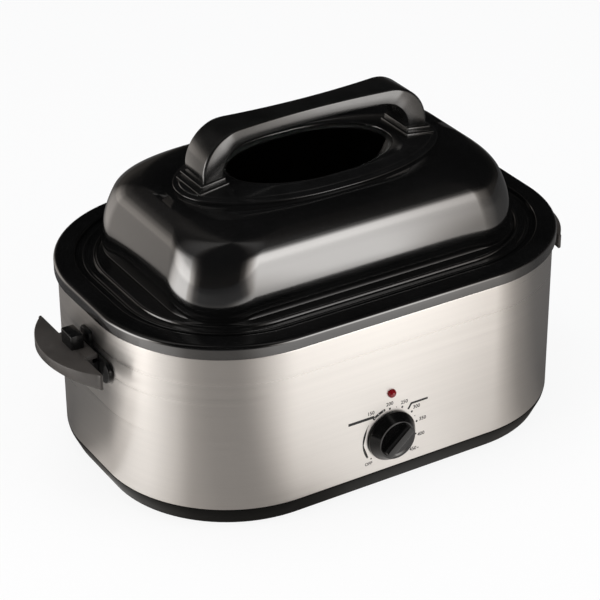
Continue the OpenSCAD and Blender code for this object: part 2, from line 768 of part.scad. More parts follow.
// The shoulder: a quadratic curve that leaves the wall and meets the crown.
wall_end = 1 - shoulder_f / dome_h;
crown_start = shoulder_f / crown_end;
function shoulder_at(u, t) =
    mix(mix(wall_at(wall_end, t), drawn_in(key_edge, t), u),
        mix(drawn_in(key_edge, t), crown_at(crown_start, t), u), u);
function lowered(s, t) = [s[0], s[1], s[2], s[3], s[4] - t];
wall_steps = 6;
turn_steps = 5;
crown_steps = 4;
// One face of the dome, t inside its outer face, from the flange up to the window hole.
function dome_face(t) = concat(
    [for (i = [0:wall_steps]) lowered(wall_at(wall_end * i / wall_steps, t), i == 0 ? t : 0)],
    [for (i = [1:turn_steps - 1]) lowered(shoulder_at(i / turn_steps, t), t * i / turn_steps)],
    [for (i = [0:crown_steps]) lowered(crown_at(mix(crown_start, 1, i / crown_steps), 0), t)],
    [lowered(key_hole, t)]);
function around_core(r, z) = [core_x, core_y, r, r, z];
function reversed(v) = [for (i = [len(v) - 1:-1:0]) v[i]];

// The lid is one drawn sheet: a rolled edge, a raised bead and a valley on the
// flange, the wall, the rounded shoulder, the crown and the oval window hole,
// with a skirt below that drops into the pan's mouth.
lid_sections = concat(
    [around_core(lid_r, z_lid), around_core(lid_r, z_lid + 2.4), around_core(lid_r - 1, z_lid + 3.2),
     around_core(lid_r - 3, z_lid + 3.2), around_core(lid_r - 4.4, z_lid + 2.2),
     around_core(bead_r + 2, z_lid + 2.2), around_core(bead_r + 0.8, z_lid + 4.2),
     around_core(bead_r - 1.2, z_lid + 4.4), around_core(bead_r - 3, z_lid + 2.8)],
    dome_face(0),
    reversed(dome_face(lid_t)),
    [around_core(skirt_r - lid_t, z_lid + 1.2), around_core(skirt_r - lid_t, z_lid - skirt_drop),
     around_core(skirt_r, z_lid - skirt_drop), around_core(skirt_r, z_lid + 0.8),
     around_core(lid_r - 1.2, z_lid + 0.8), around_core(lid_r - 1.2, z_lid)]);

vent_x = ring_a + 13.6;
module lid_dome()
    color(enamel) centred() difference() {
        loft(lid_sections);
        handle_screw_holes(z_ring - 12, 30);
        for (s = [-1, 1]) translate([s * vent_x - 4.5, -0.75, z_ring - 14]) cube([9, 1.5, 24]);
    }

module handle_screw_holes(z, h)
    for (sx = [-1, 1], y = [-handle_screw_y, handle_screw_y])
        translate([sx * foot_x, y, z]) cylinder(r = handle_screw_r + screw_gap, h = h, $fn = 32);

module window_frame() {
    a = ring_a - 1.5;
    b = ring_b - 1.5;
    step_a = ring_a - 7.8;
    step_b = ring_b - 10;
    lap_a = glass_a - glass_lap;
    lap_b = glass_b - glass_lap;
    flat_a = foot_x - leg_t / 2 - 1;
    flat_b = mix(lap_b, step_b, 0.4);
    color(black) centred() difference() {
        loft([
            oval(a, b, z_ring + seat_gap + 0.05), oval(a, b, z_ring + 2.2), oval(a - 1, b - 1, z_ring + 3),
            oval(a - 3, b - 3, z_ring + 3.2), oval(step_a, step_b, z_ring + 3.4),
            oval(step_a - 0.8, step_b - 0.8, z_ring + 4.4), oval(step_a - 2.4, step_b - 1.6, z_ring + 4.8),
            oval(flat_a, flat_b, z_frame - 0.3), oval(lap_a + 1.4, lap_b + 1.4, z_frame),
            oval(lap_a, lap_b, z_frame - 0.5), oval(lap_a, lap_b, z_lap),
            oval(glass_a + 0.5, glass_b + 0.5, z_lap), oval(glass_a + 0.5, glass_b + 0.5, z_hole + seat_gap)
        ]);
        handle_screw_holes(z_ring - 12, 40);
        on_feet() foot_block(collar_in + seat_gap, collar_out + seat_gap, collar_w + 2 * seat_gap, 0, 20);
    }
}

module window_gasket()
    color([0.25, 0.25, 0.25]) centred() difference() {
        oval_plate(glass_a - 0.5, glass_b - 0.5, z_gasket, gasket_t);
        oval_plate(hole_a + 1, hole_b + 1, z_gasket - 1, gasket_t + 2);
    }

module window_glass()
    color([0.35, 0.25, 0.2, 0.6]) centred() oval_plate(glass_a, glass_b, z_glass, glass_t);

// The arch seen from the front: straight legs and top with round bends.
module arch(half, top, r) {
    translate([-half, z_ring - 20]) square([2 * half, top - r - z_ring + 20]);
    translate([-half + r, z_ring - 20]) square([2 * (half - r), top - z_ring + 20]);
    for (s = [-1, 1]) translate([s * (half - r), top - r]) circle(r);
}

// The two tilted planes that the feet stand on.
module on_feet()
    for (s = [0, 1]) mirror([s, 0, 0]) translate([foot_x, 0, z_foot]) rotate([0, foot_tilt, 0]) children();

// A block on a foot's plane, from in to out along the lid, w wide, from z up by h.
module foot_block(in, out, w, z, h) translate([-in, -w / 2, z]) cube([in + out, w, h]);

collar_in = leg_t / 2 + 3.5;
collar_out = leg_t / 2 + 7.6;
collar_w = leg_w + 9;

module lid_handle() {
    waist = (leg_w - waist_w) / 2;
    waist_half = leg_x - 32;
    waist_r = (waist_half * waist_half + waist * waist) / (2 * waist);
    bevel = 3.2;
    w = leg_w / 2;
    l = leg_x + 1;
    color(black) centred() difference() {
        intersection() {
            translate([0, leg_w, 0]) rotate([90, 0, 0]) linear_extrude(2 * leg_w) difference() {
                arch(leg_x, z_handle, bend_r);
                arch(leg_x - leg_t, z_handle - bar_h, bend_r - 15.4);
            }
            translate([0, 0, z_ring - 20]) linear_extrude(z_handle) difference() {
                polygon([
                    [l, w - bevel], [l - bevel, w], [bevel - l, w], [-l, w - bevel],
                    [-l, bevel - w], [bevel - l, -w], [l - bevel, -w], [l, bevel - w]
                ]);
                for (s = [-1, 1]) translate([0, s * (waist_w / 2 + waist_r)]) circle(waist_r, $fn = 240);
            }
        }
        on_feet() foot_block(leg_t * 2, leg_t * 2, leg_w * 2, collar_h + seat_gap - 60, 60);
        handle_screw_holes(z_ring - 4, 28);
    }
}

// A collar under each leg, in two steps, seated on the frame's sloping top.
module handle_collars()
    color(black) centred() difference() {
        on_feet() {
            foot_block(collar_in, collar_out, collar_w, seat_gap, collar_h * 0.35);
            foot_block(collar_in - 2, collar_out - 4.4, collar_w - 5, seat_gap, collar_h - seat_gap);
        }
        handle_screw_holes(z_ring - 12, 60);
    }

module handle_screws()
    color(bright) centred() for (sx = [-1, 1], y = [-handle_screw_y, handle_screw_y])
        translate([sx * foot_x, y, z_ring]) {
            translate([0, 0, -lid_t - 2.6]) cylinder(r = 4.4, h = 2.5);
            translate([0, 0, -lid_t - 1]) cylinder(r = handle_screw_r, h = 22);
        }

base_tray();
outer_shell();
heating_well();
heating_band();
insulation_blanket();
bottom_shield();
well_posts();
base_screws();
rubber_feet();
foot_screws();
thermostat();
thermostat_bracket();
thermostat_nut();
capillary_tube();
sensor_bulb();
lamp_lens();
lamp_holder();
terminal_block();
thermal_cutoff();
cord_gland();
left_handle();
right_handle();
left_handle_plate();
right_handle_plate();
side_handle_bolts();
thermostat_shaft();
control_knob();
knob_clip();
roasting_pan();
roasting_rack();
rack_handles();
lid_dome();
window_frame();
window_gasket();
window_glass();
lid_handle();
handle_collars();
handle_screws();
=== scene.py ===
import math
import bpy
import bmesh
import numpy as np
from mathutils import Matrix, Vector


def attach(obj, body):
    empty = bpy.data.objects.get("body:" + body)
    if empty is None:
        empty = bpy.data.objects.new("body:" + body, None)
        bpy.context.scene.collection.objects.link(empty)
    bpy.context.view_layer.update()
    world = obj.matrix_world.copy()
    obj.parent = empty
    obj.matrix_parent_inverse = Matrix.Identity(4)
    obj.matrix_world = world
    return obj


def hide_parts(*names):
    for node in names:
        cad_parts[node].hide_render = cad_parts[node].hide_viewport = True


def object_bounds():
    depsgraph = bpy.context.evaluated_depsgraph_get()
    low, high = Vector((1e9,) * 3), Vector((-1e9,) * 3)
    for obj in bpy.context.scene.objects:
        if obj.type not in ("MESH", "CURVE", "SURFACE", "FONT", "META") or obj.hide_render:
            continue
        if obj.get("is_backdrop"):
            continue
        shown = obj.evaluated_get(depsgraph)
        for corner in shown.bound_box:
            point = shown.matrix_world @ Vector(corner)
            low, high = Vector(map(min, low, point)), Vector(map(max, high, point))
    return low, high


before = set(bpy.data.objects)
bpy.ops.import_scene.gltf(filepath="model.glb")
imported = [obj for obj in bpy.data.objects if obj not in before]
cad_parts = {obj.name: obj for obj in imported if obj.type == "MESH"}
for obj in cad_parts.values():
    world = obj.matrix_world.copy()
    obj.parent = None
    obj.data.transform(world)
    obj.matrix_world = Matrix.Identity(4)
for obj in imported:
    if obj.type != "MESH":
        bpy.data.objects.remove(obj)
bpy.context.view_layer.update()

# ==================================================================== the view
# A long lens looks down on the oven from the left of its front. The aim point
# is inside the body; the camera leans by a third of a degree.
aim, distance = Vector((-0.01034, 0.00675, 0.14047)), 2.46336
turn, rise, lean = math.radians(-31.12), math.radians(29.5), math.radians(-0.37)
lens_length, sensor_width, farthest = 136.08, 36, 50


def in_scene(name, data):
    """An object of a name for a mesh, a lamp, a camera or a text, linked into the scene."""
    obj = bpy.data.objects.new(name, data)
    bpy.context.collection.objects.link(obj)
    return obj


back = Vector((math.sin(turn) * math.cos(rise), -math.cos(turn) * math.cos(rise), math.sin(rise)))
right = Vector((math.cos(turn), math.sin(turn), 0))
above = back.cross(right)
cam_x = right * math.cos(lean) + above * math.sin(lean)
cam_y = above * math.cos(lean) - right * math.sin(lean)
facing = Matrix((cam_x, cam_y, back)).transposed().to_4x4()
cam = in_scene("camera", bpy.data.cameras.new("camera"))
cam.data.lens, cam.data.sensor_width, cam.data.clip_end = lens_length, sensor_width, farthest
cam.matrix_world = Matrix.Translation(aim + back * distance) @ facing
bpy.context.scene.camera = cam
bpy.context.scene.view_settings.view_transform = "Standard"

# =========================================================== floor and studio
# A white table in a white room, plain white to the camera, keeps a faint shadow. Gloss
# and metal see a graded room: soft light at the left and the front right, dark between
# them, at the back and overhead. Three soft lamps light the surfaces.


def feed(tree, socket, source):
    """Links a source to a socket, or sets the socket's own value."""
    if isinstance(source, bpy.types.NodeSocket):
        tree.links.new(source, socket)
    else:
        socket.default_value = source


def add(tree, kind, **sources):
    """The first output of a new node of a kind, with its inputs fed by name."""
    node = tree.nodes.new(kind)
    for name, source in sources.items():
        feed(tree, node.inputs[name.replace("_", " ")], source)
    return node.outputs[0]


def fed(tree, kind, sources, inputs=(0, 1, 2), output=0, **options):
    """An output of a new node of a kind, with its options set and its inputs fed by number."""
    node = tree.nodes.new(kind)
    for name, value in options.items():
        setattr(node, name, value)
    for place, source in zip(inputs, sources):
        feed(tree, node.inputs[place], source)
    return node.outputs[output]


def maths(tree, kind, *values):
    """A sum, product or other operation on sockets and numbers."""
    return fed(tree, "ShaderNodeMath", values, operation=kind)


def mixed_shaders(tree, share, one, two):
    """Two shaders mixed by a share."""
    return fed(tree, "ShaderNodeMixShader", (share, one, two))


def mixed_colours(tree, share, one, two, kind="MIX"):
    """Two colours joined by a kind of blend, by a share."""
    return fed(tree, "ShaderNodeMix", (share, one, two), (0, 6, 7), 2, data_type="RGBA", blend_type=kind)


def ramp(tree, source, stops, smooth=True):
    """A colour ramp fed by a socket: stops are (place, grey or colour)."""
    node = tree.nodes.new("ShaderNodeValToRGB")
    bar = node.color_ramp
    bar.interpolation = "EASE" if smooth else "LINEAR"
    while len(bar.elements) < len(stops):
        bar.elements.new(0.5)
    for element, (place, colour) in zip(bar.elements, sorted(stops, key=lambda s: s[0])):
        element.position = place
        element.color = (*((colour,) * 3 if isinstance(colour, (int, float)) else colour), 1)
    feed(tree, node.inputs[0], source)
    return node.outputs[0]


def warm(grey):
    """A grey g, warmer the darker it is: red g, green g(0.9 + 0.07g), blue g(0.81 + 0.13g)."""
    return grey, grey * (0.9 + 0.07 * grey), grey * (0.81 + 0.13 * grey)


def compass(tree, vector, stops):
    """Light by compass direction, and the vector's height. Stops are (degrees from +x, grey),
    and the light runs evenly from each to the next."""
    parts = add(tree, "ShaderNodeSeparateXYZ", Vector=vector).node.outputs
    angle = maths(tree, "ARCTAN2", parts["Y"], parts["X"])
    share = maths(tree, "MULTIPLY_ADD", angle, 0.5 / math.pi, 0.5)
    placed = [(((degrees + 180) % 360) / 360, warm(grey)) for degrees, grey in stops]
    return ramp(tree, share, placed, False), parts["Z"]


# The room's light by direction, its fall with height, and the table's light near the oven.
horizon = [(20, 0.004), (60, 0.006), (92, 0.03), (106, 0.24), (118, 0.32), (130, 0.2), (141, 0.12),
           (150, 0.75), (160, 1.0), (174, 1.0), (182, 0.55), (191, 0.06), (200, 0.006), (262, 0.006),
           (271, 0.06), (281, 0.45), (291, 1.0), (299, 1.0), (302.5, 0.52), (306, 0.26), (312, 0.14),
           (335, 0.02)]
by_height = [(0.0, 1.0), (0.1, 0.9), (0.2, 0.45), (0.3, 0.12), (0.45, 0.03), (1.0, 0.05)]
foreground = [(30, 0.04), (80, 0.03), (130, 0.02), (155, 0.03), (166, 0.14), (174, 0.6), (182, 0.95),
              (193, 0.95), (202, 0.72), (209, 0.36), (219, 0.24), (238, 0.22), (246, 0.42), (253, 0.7),
              (262, 0.9), (276, 1.0), (290, 0.95), (303, 0.74), (311, 0.5), (321, 0.2), (338, 0.05)]
gloss_light, room_light, far_table_gain = 4.6, 0.55, 2.8
white, cool_white = (1, 1, 1, 1), (0.93, 0.95, 1.0, 1)

world = bpy.data.worlds.new("studio")
bpy.context.scene.world = world
world.use_nodes = True
tree = world.node_tree
tree.nodes.clear()
rays = tree.nodes.new("ShaderNodeLightPath").outputs
heading = tree.nodes.new("ShaderNodeTexCoord").outputs["Generated"]
room, height = compass(tree, heading, horizon)
graded = mixed_colours(tree, 1.0, room, ramp(tree, height, by_height), "MULTIPLY")
dim = add(tree, "ShaderNodeBackground", Color=graded, Strength=gloss_light)
soft = add(tree, "ShaderNodeBackground", Color=cool_white, Strength=room_light)
plain = add(tree, "ShaderNodeBackground", Color=white, Strength=1.0)
seen = mixed_shaders(tree, rays["Is Glossy Ray"], soft, dim)
shown = mixed_shaders(tree, rays["Is Camera Ray"], seen, plain)
feed(tree, tree.nodes.new("ShaderNodeOutputWorld").inputs["Surface"], shown)


def new_material(name, **sockets):
    """A material with values on its shader's own sockets, its node tree and its shader."""
    made = bpy.data.materials.new(name)
    made.use_nodes = True
    shader = made.node_tree.nodes["Principled BSDF"]
    for socket, value in sockets.items():
        shader.inputs[socket.replace("_", " ")].default_value = value
    return made, made.node_tree, shader


table_half, white_share = 9, 0.88
corners = [(x * table_half, y * table_half, 0) for x, y in ((-1, -1), (1, -1), (1, 1), (-1, 1))]
table_mesh = bpy.data.meshes.new("table")
table_mesh.from_pydata(corners, [], [(0, 1, 2, 3)])
in_scene("table", table_mesh)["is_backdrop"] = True
paper, tree, matt = new_material("white_paper", Base_Color=(0.9, 0.9, 0.9, 1), Roughness=0.9,
                                 Specular_IOR_Level=0.1)
rays = tree.nodes.new("ShaderNodeLightPath").outputs
place = tree.nodes.new("ShaderNodeTexCoord").outputs["Object"]
near, far = compass(tree, place, foreground)[0], compass(tree, place, horizon)[0]
from_oven = fed(tree, "ShaderNodeVectorMath", (place,), output="Value", operation="LENGTH")
distant = ramp(tree, from_oven, [(0.45, 0.0), (1.0, 1.0)])
bright = maths(tree, "MULTIPLY_ADD", distant, far_table_gain, 1.0)
glossy = add(tree, "ShaderNodeEmission", Color=mixed_colours(tree, distant, near, far), Strength=bright)
plain = add(tree, "ShaderNodeEmission", Color=white, Strength=1.0)
seen = mixed_shaders(tree, rays["Is Glossy Ray"], plain, glossy)
either = maths(tree, "MAXIMUM", rays["Is Camera Ray"], rays["Is Glossy Ray"])
shown = mixed_shaders(tree, maths(tree, "MULTIPLY", either, white_share), matt.outputs[0], seen)
feed(tree, tree.nodes["Material Output"].inputs["Surface"], shown)
table_mesh.materials.append(paper)

lamp_aim = Vector((0, 0, 0.2))


def lamp(name, place, size, watts, colour=(1, 1, 1)):
    """A soft rectangular lamp at a place, turned to the oven. It lights surfaces but isn't
    itself seen in gloss."""
    data = bpy.data.lights.new(name, "AREA")
    data.shape, data.size, data.size_y = "RECTANGLE", size[0], size[1]
    data.energy, data.color = watts, colour
    obj = in_scene(name, data)
    obj.visible_glossy = False
    facing = (lamp_aim - Vector(place)).to_track_quat("-Z", "Y").to_matrix().to_4x4()
    obj.matrix_world = Matrix.Translation(place) @ facing


lamp("front_right", (1.25, -1.75, 0.95), (1.9, 1.3), 26, (1.0, 0.97, 0.94))
lamp("left", (-2.1, -0.1, 0.9), (1.5, 1.3), 22, (1.0, 0.98, 0.95))
lamp("top", (-0.3, 0.2, 2.4), (1.2, 0.8), 10)

# ================================================= base tray, feet and screws
# The oven stands on a black moulded tray with vent slots in its floor. Four
# rubber feet are screwed under it, and four more screws hold the well's posts.


def noise(tree, where, scale, detail, rough=0.55):
    """Noise on a vector socket, as its grey output."""
    return add(tree, "ShaderNodeTexNoise", Vector=where, Scale=scale, Detail=detail, Roughness=rough)


def between(tree, source, low, high, a=0.3, b=0.7):
    """A grey from low to high, spread over a source's values from a to b."""
    return add(tree, "ShaderNodeMapRange", Value=source, From_Min=a, From_Max=b, To_Min=low, To_Max=high)


def finish(name, dark, light, grain, patch, rough, bump, stretch=(1, 1, 1), **sockets):
    """A material on Object coordinates. Its colour runs from dark to light with a coarse
    noise (patch, per metre) and a fine one (grain, per metre); its roughness follows the
    coarse noise, and its bump the fine one. Other sockets are set as they are."""
    made, tree, shader = new_material(name, **sockets)
    place = tree.nodes.new("ShaderNodeTexCoord").outputs["Object"]
    scaled = add(tree, "ShaderNodeMapping", Vector=place, Scale=stretch)
    coarse = noise(tree, scaled, patch, 4.0)
    fine = noise(tree, scaled, grain, 2.0)
    both = maths(tree, "ADD", between(tree, coarse, 0.0, 0.6), between(tree, fine, 0.0, 0.4))
    lumps = add(tree, "ShaderNodeBump", Height=fine, Strength=bump, Distance=0.0004)
    feed(tree, shader.inputs["Base Color"], ramp(tree, both, [(0.0, dark), (1.0, light)], False))
    feed(tree, shader.inputs["Roughness"], between(tree, coarse, *rough))
    feed(tree, shader.inputs["Normal"], lumps)
    return made


def dress(material, *names):
    """Gives CAD nodes, kept as they are, a material in every slot."""
    for name in names:
        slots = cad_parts[name].data.materials
        if not slots:
            slots.append(material)
        for i in range(len(slots)):
            slots[i] = material


def shade_smooth(mesh, sharp):
    """Smooth faces, with a crease where two of them meet at more than an angle."""
    mesh.polygons.foreach_set("use_smooth", np.ones(len(mesh.polygons), dtype=bool))
    mesh.set_sharp_from_angle(angle=math.radians(sharp))


def smoothed(node, material, body, bevel=0.0):
    """A copy of a CAD node with its loose triangles joined, flat ones dissolved, its
    curved faces smooth and, if asked for, its sharp edges rounded by a small bevel."""
    shape = bmesh.new()
    shape.from_mesh(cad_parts[node].data)
    bmesh.ops.remove_doubles(shape, verts=shape.verts, dist=2e-6)
    bmesh.ops.dissolve_limit(shape, angle_limit=math.radians(0.3), verts=shape.verts, edges=shape.edges)
    mesh = bpy.data.meshes.new(node + "_finished")
    shape.to_mesh(mesh)
    shape.free()
    shade_smooth(mesh, 28)
    mesh.materials.clear()
    mesh.materials.append(material)
    piece = in_scene(node + "_finished", mesh)
    if bevel:
        rounded = piece.modifiers.new("edge", "BEVEL")
        rounded.width, rounded.segments, rounded.limit_method = bevel, 2, "ANGLE"
        rounded.angle_limit = math.radians(35)
    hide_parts(node)
    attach(piece, body)


tray_black = finish("tray_black", (0.003, 0.003, 0.0028), (0.007, 0.0068, 0.006), grain=900, patch=30,
                    rough=(0.32, 0.45), bump=0.12, IOR=1.18)
foot_rubber = finish("foot_rubber", (0.02, 0.02, 0.02), (0.045, 0.045, 0.043), grain=1500, patch=60,
                     rough=(0.6, 0.8), bump=0.3)
zinc = finish("zinc", (0.5, 0.5, 0.47), (0.68, 0.67, 0.62), grain=2200, patch=160, rough=(0.26, 0.42),
              bump=0.08, Metallic=1.0)
smoothed("base_tray", tray_black, "base")
smoothed("rubber_feet", foot_rubber, "base")
dress(zinc, "base_screws", "foot_screws")

# ================================================================ steel shell
# A strip of brushed stainless steel is wrapped round the body and seamed. Its
# top edge turns in under the pan's rim, and its foot is hemmed over the tray.
mid_y, half_l, half_w, corner_r = 6.75, 265.0, 179.7, 145.0
core_x, core_y = half_l - corner_r, half_w - corner_r
z_steel, z_rim, shell_t, fold_r, hem_r = 24.6, 205.0, 0.7, 1.6, 1.0
shell_steps, on_the_wall, streak_scale, darkest = 36, 12, 0.12, 0.91


def lofted(rows, turn=32, middle=mid_y):
    """A grid (row, column, xyz) in mm from rows of (cx, cy, rx, ry, z). Over each quarter
    turn a runs evenly, x = sx cx + rx cos a and y = middle + sy cy + ry sin a, where sx
    and sy are the signs of that quarter, so a row is an oval with its four corners moved
    out by cx and cy."""
    r = np.asarray(rows, float)[:, None, :]
    q = np.arange(4)[:, None]
    a = (np.linspace(0, np.pi / 2, turn + 1)[None, :] + q * np.pi / 2).ravel()
    sx = np.repeat([1, -1, -1, 1], turn + 1)
    sy = np.repeat([1, 1, -1, -1], turn + 1)
    x = sx * r[..., 0] + r[..., 2] * np.cos(a)
    y = middle + sy * r[..., 1] + r[..., 3] * np.sin(a)
    return np.stack([x, y, np.broadcast_to(r[..., 4], x.shape)], -1)


def skin(name, grid, material, body, stands_for=(), closed=(True, True), caps=False, sharp=32,
         uv=None):
    """A piece from a grid of points in mm (row, column, xyz). Quads join each point to the
    next in its row and in the next row; a closed direction joins its last to its first.
    Caps fill the first and last rows. Faces are turned outwards and edges sharper than
    the angle stay sharp. uv is a (row, column, 2) grid in metres kept as the piece's own
    map; a quad over the map's seam takes u one length round the piece further on."""
    rows, cols = grid.shape[:2]
    i = np.arange(rows if closed[0] else rows - 1)[:, None]
    j = np.arange(cols if closed[1] else cols - 1)[None, :]
    k, m = (i + 1) % rows, (j + 1) % cols
    faces = np.stack([i * cols + j, i * cols + m, k * cols + m, k * cols + j], -1).reshape(-1, 4).tolist()
    if uv is not None:
        lap = uv.reshape(-1, 2)[np.array(faces).ravel()].reshape(-1, 4, 2)
        over_seam = lap[:, :, 0] < lap[:, :, 0].max(1, keepdims=True) - 1.5
        lap[:, :, 0] += np.where(over_seam, uv[0, -1, 0] + uv[0, 1, 0] - uv[0, 0, 0], 0)
    if caps:
        faces += [list(range(cols))[::-1], [(rows - 1) * cols + c for c in range(cols)]]
    mesh = bpy.data.meshes.new(name)
    mesh.from_pydata((grid.reshape(-1, 3) / 1000).tolist(), [], faces)
    if uv is not None:
        mesh.uv_layers.new(name="run").data.foreach_set("uv", lap.reshape(-1))
    shape = bmesh.new()
    shape.from_mesh(mesh)
    bmesh.ops.remove_doubles(shape, verts=shape.verts, dist=1e-6)
    bmesh.ops.dissolve_degenerate(shape, dist=1e-7, edges=shape.edges)
    bmesh.ops.recalc_face_normals(shape, faces=shape.faces)
    shape.to_mesh(mesh)
    shape.free()
    shade_smooth(mesh, sharp)
    mesh.materials.append(material)
    piece = in_scene(name, mesh)
    if stands_for:
        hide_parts(*stands_for)
    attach(piece, body)
    return piece


def bend(centre, radius, start, stop, steps=8):
    """Points round an arc in a section: centre (r, z), angles in degrees."""
    a = np.radians(np.linspace(start, stop, steps + 1))
    return np.stack([centre[0] + radius * np.cos(a), centre[1] + radius * np.sin(a)], -1)


def with_thickness(path, t):
    """A closed section from an open one: out along the path, and back t to its right. Each
    returning point lies along the mean of its two segments' normals, over its cosine."""
    p = np.asarray(path, float)
    d = np.diff(p, axis=0)
    n = np.stack([d[:, 1], -d[:, 0]], -1) / np.linalg.norm(d, axis=1)[:, None]
    before, after = np.vstack([n[:1], n]), np.vstack([n, n[-1:]])
    mean = before + after
    return np.vstack([p, (p + mean * t / (mean * after).sum(1)[:, None])[::-1]])


def columns(*parts):
    """Columns side by side, each of them an array or one number for all its rows."""
    return np.stack(np.broadcast_arrays(*parts), -1)


def round_body(section):
    """Rows for a section of (r, z) points carried round the body's rounded rectangle."""
    r, z = np.asarray(section, float).T
    return columns(core_x, core_y, r, r, z)


def brushed(name, shade, stretch, rough):
    """Brushed steel. On the piece's own map, u runs along the brushing in metres and v
    across it: noise stretched along u shifts the grey and the roughness a little, and
    the highlight is drawn out across the brushing by the shader's anisotropy."""
    made, tree, shader = new_material(name, Metallic=1.0, Anisotropic=0.7, Anisotropic_Rotation=0.25)
    along = tree.nodes.new("ShaderNodeTexCoord").outputs["UV"]
    run = add(tree, "ShaderNodeMapping", Vector=along, Scale=stretch)
    slow = add(tree, "ShaderNodeMapping", Vector=along, Scale=tuple(s * streak_scale for s in stretch))
    fine = noise(tree, run, 1.0, 4.0, 0.7)
    streak = noise(tree, slow, 1.0, 3.0, 0.6)
    both = maths(tree, "ADD", between(tree, fine, 0.0, 0.55, 0.25, 0.75),
                 between(tree, streak, 0.0, 0.45, 0.25, 0.75))
    dark = tuple(c * darkest for c in shade)
    scratch = add(tree, "ShaderNodeBump", Height=fine, Strength=0.03, Distance=0.0003)
    direction = fed(tree, "ShaderNodeTangent", (), direction_type="UV_MAP", uv_map="run")
    feed(tree, shader.inputs["Base Color"], ramp(tree, both, [(0.0, dark), (1.0, shade)], False))
    feed(tree, shader.inputs["Roughness"], between(tree, streak, *rough))
    feed(tree, shader.inputs["Tangent"], direction)
    feed(tree, shader.inputs["Normal"], scratch)
    return made


outside = np.vstack([
    [[corner_r - 5.5, z_rim - 0.2], [corner_r - fold_r, z_rim - 0.2]],
    bend((corner_r - fold_r, z_rim - 1.8), fold_r, 90, 0),
    columns(corner_r, np.linspace(z_rim - 2.6, z_steel + 3.2, shell_steps)),
    bend((corner_r - hem_r, z_steel + hem_r), hem_r, 0, -90, 6), [[corner_r - 3.0, z_steel]]])
shell = lofted(round_body(with_thickness(outside, shell_t)))
# The map's u is the length round the wall in metres, and v the height.
ring = shell[on_the_wall]
step = np.linalg.norm(np.diff(ring, axis=0, append=ring[:1]), axis=1)
around = np.concatenate([[0], np.cumsum(step)[:-1]]) / 1000
shell_map = columns(around, shell[..., 2] / 1000)
steel = brushed("brushed_steel", (0.79, 0.765, 0.735), (2.2, 1300, 1), (0.26, 0.36))
skin("steel_shell", shell, steel, "base", ("outer_shell",), uv=shell_map)

# ======================================== heating well, insulation and wiring
# An enamelled well hangs in the shell, with a mica heating band round it, glass
# wool outside that, and a bright shield below. None of it shows with the pan in.
well_enamel = finish("well_enamel", (0.01, 0.01, 0.011), (0.03, 0.03, 0.033), grain=700, patch=25,
                     rough=(0.12, 0.25), bump=0.06, IOR=1.6)
mica = finish("mica", (0.42, 0.3, 0.16), (0.66, 0.55, 0.38), grain=500, patch=60, rough=(0.45, 0.7),
              bump=0.25, stretch=(1, 1, 3))
wool = finish("wool", (0.62, 0.56, 0.36), (0.86, 0.83, 0.66), grain=900, patch=90, rough=(0.85, 1.0),
              bump=0.9)
bright_sheet = finish("bright_sheet", (0.55, 0.56, 0.57), (0.74, 0.75, 0.76), grain=1500, patch=70,
                      rough=(0.22, 0.4), bump=0.08, stretch=(1, 12, 1), Metallic=1.0)
ceramic = finish("ceramic", (0.66, 0.63, 0.55), (0.84, 0.82, 0.76), grain=1800, patch=120,
                 rough=(0.4, 0.6), bump=0.1)
copper = finish("copper", (0.55, 0.22, 0.12), (0.85, 0.45, 0.28), grain=1500, patch=90,
                rough=(0.22, 0.4), bump=0.05, Metallic=1.0)
nylon = finish("nylon", (0.55, 0.53, 0.48), (0.78, 0.77, 0.72), grain=1200, patch=110,
               rough=(0.4, 0.55), bump=0.08)
gland_rubber = finish("gland_rubber", (0.012, 0.012, 0.012), (0.035, 0.035, 0.034), grain=1600, patch=80,
                      rough=(0.5, 0.7), bump=0.25)
smoothed("heating_well", well_enamel, "base")
smoothed("heating_band", mica, "base")
smoothed("insulation_blanket", wool, "base")
smoothed("bottom_shield", bright_sheet, "base")
smoothed("cord_gland", gland_rubber, "base", bevel=0.0004)
smoothed("capillary_tube", copper, "base")
smoothed("sensor_bulb", copper, "base")
dress(zinc, "well_posts", "thermostat_bracket", "thermostat_nut")
dress(ceramic, "thermostat")
dress(nylon, "lamp_holder", "terminal_block", "thermal_cutoff")

# ============================================================= indicator lamp
# A red lens is pressed into the steel above the knob: a clear red dome with a
# flat foot, lit from behind by the holder.
front_y, dial_x, dial_z, lamp_z = mid_y - half_w, -9.0, 65.0, 116.0
lens_r, lens_foot_r, lens_depth, lens_seat = 5, 4.2, 6.0, 0.05


def turned_shape(profile, height, turn=48):
    """A profile of (radius, out) points turned about an axis that stands out of the front:
    x = dial + radius cos a, z = height + radius sin a, y = front - out."""
    p = np.asarray(profile, float)
    a = np.linspace(0, 2 * np.pi, turn, endpoint=False)
    x = dial_x + p[:, :1] * np.cos(a)
    z = height + p[:, :1] * np.sin(a)
    return columns(x, front_y - p[:, 1:], z)


red_clear = finish("red_lens", (0.17, 0.004, 0.008), (0.3, 0.008, 0.014), grain=300, patch=200,
                   rough=(0.04, 0.09), bump=0.02, IOR=1.5, Transmission_Weight=0.25, Coat_Weight=0.6,
                   Coat_Roughness=0.03)
lens_foot = [[0, -lens_depth], [lens_foot_r, -lens_depth], [lens_foot_r, lens_seat],
             [lens_r - 0.05, lens_seat]]
dome = np.vstack([lens_foot, bend((0, 0), lens_r, 18, 90, 10)])
dome[-1, 0] = 0
skin("lamp", turned_shape(dome, lamp_z), red_clear, "base", ("lamp_lens",), closed=(False, True))

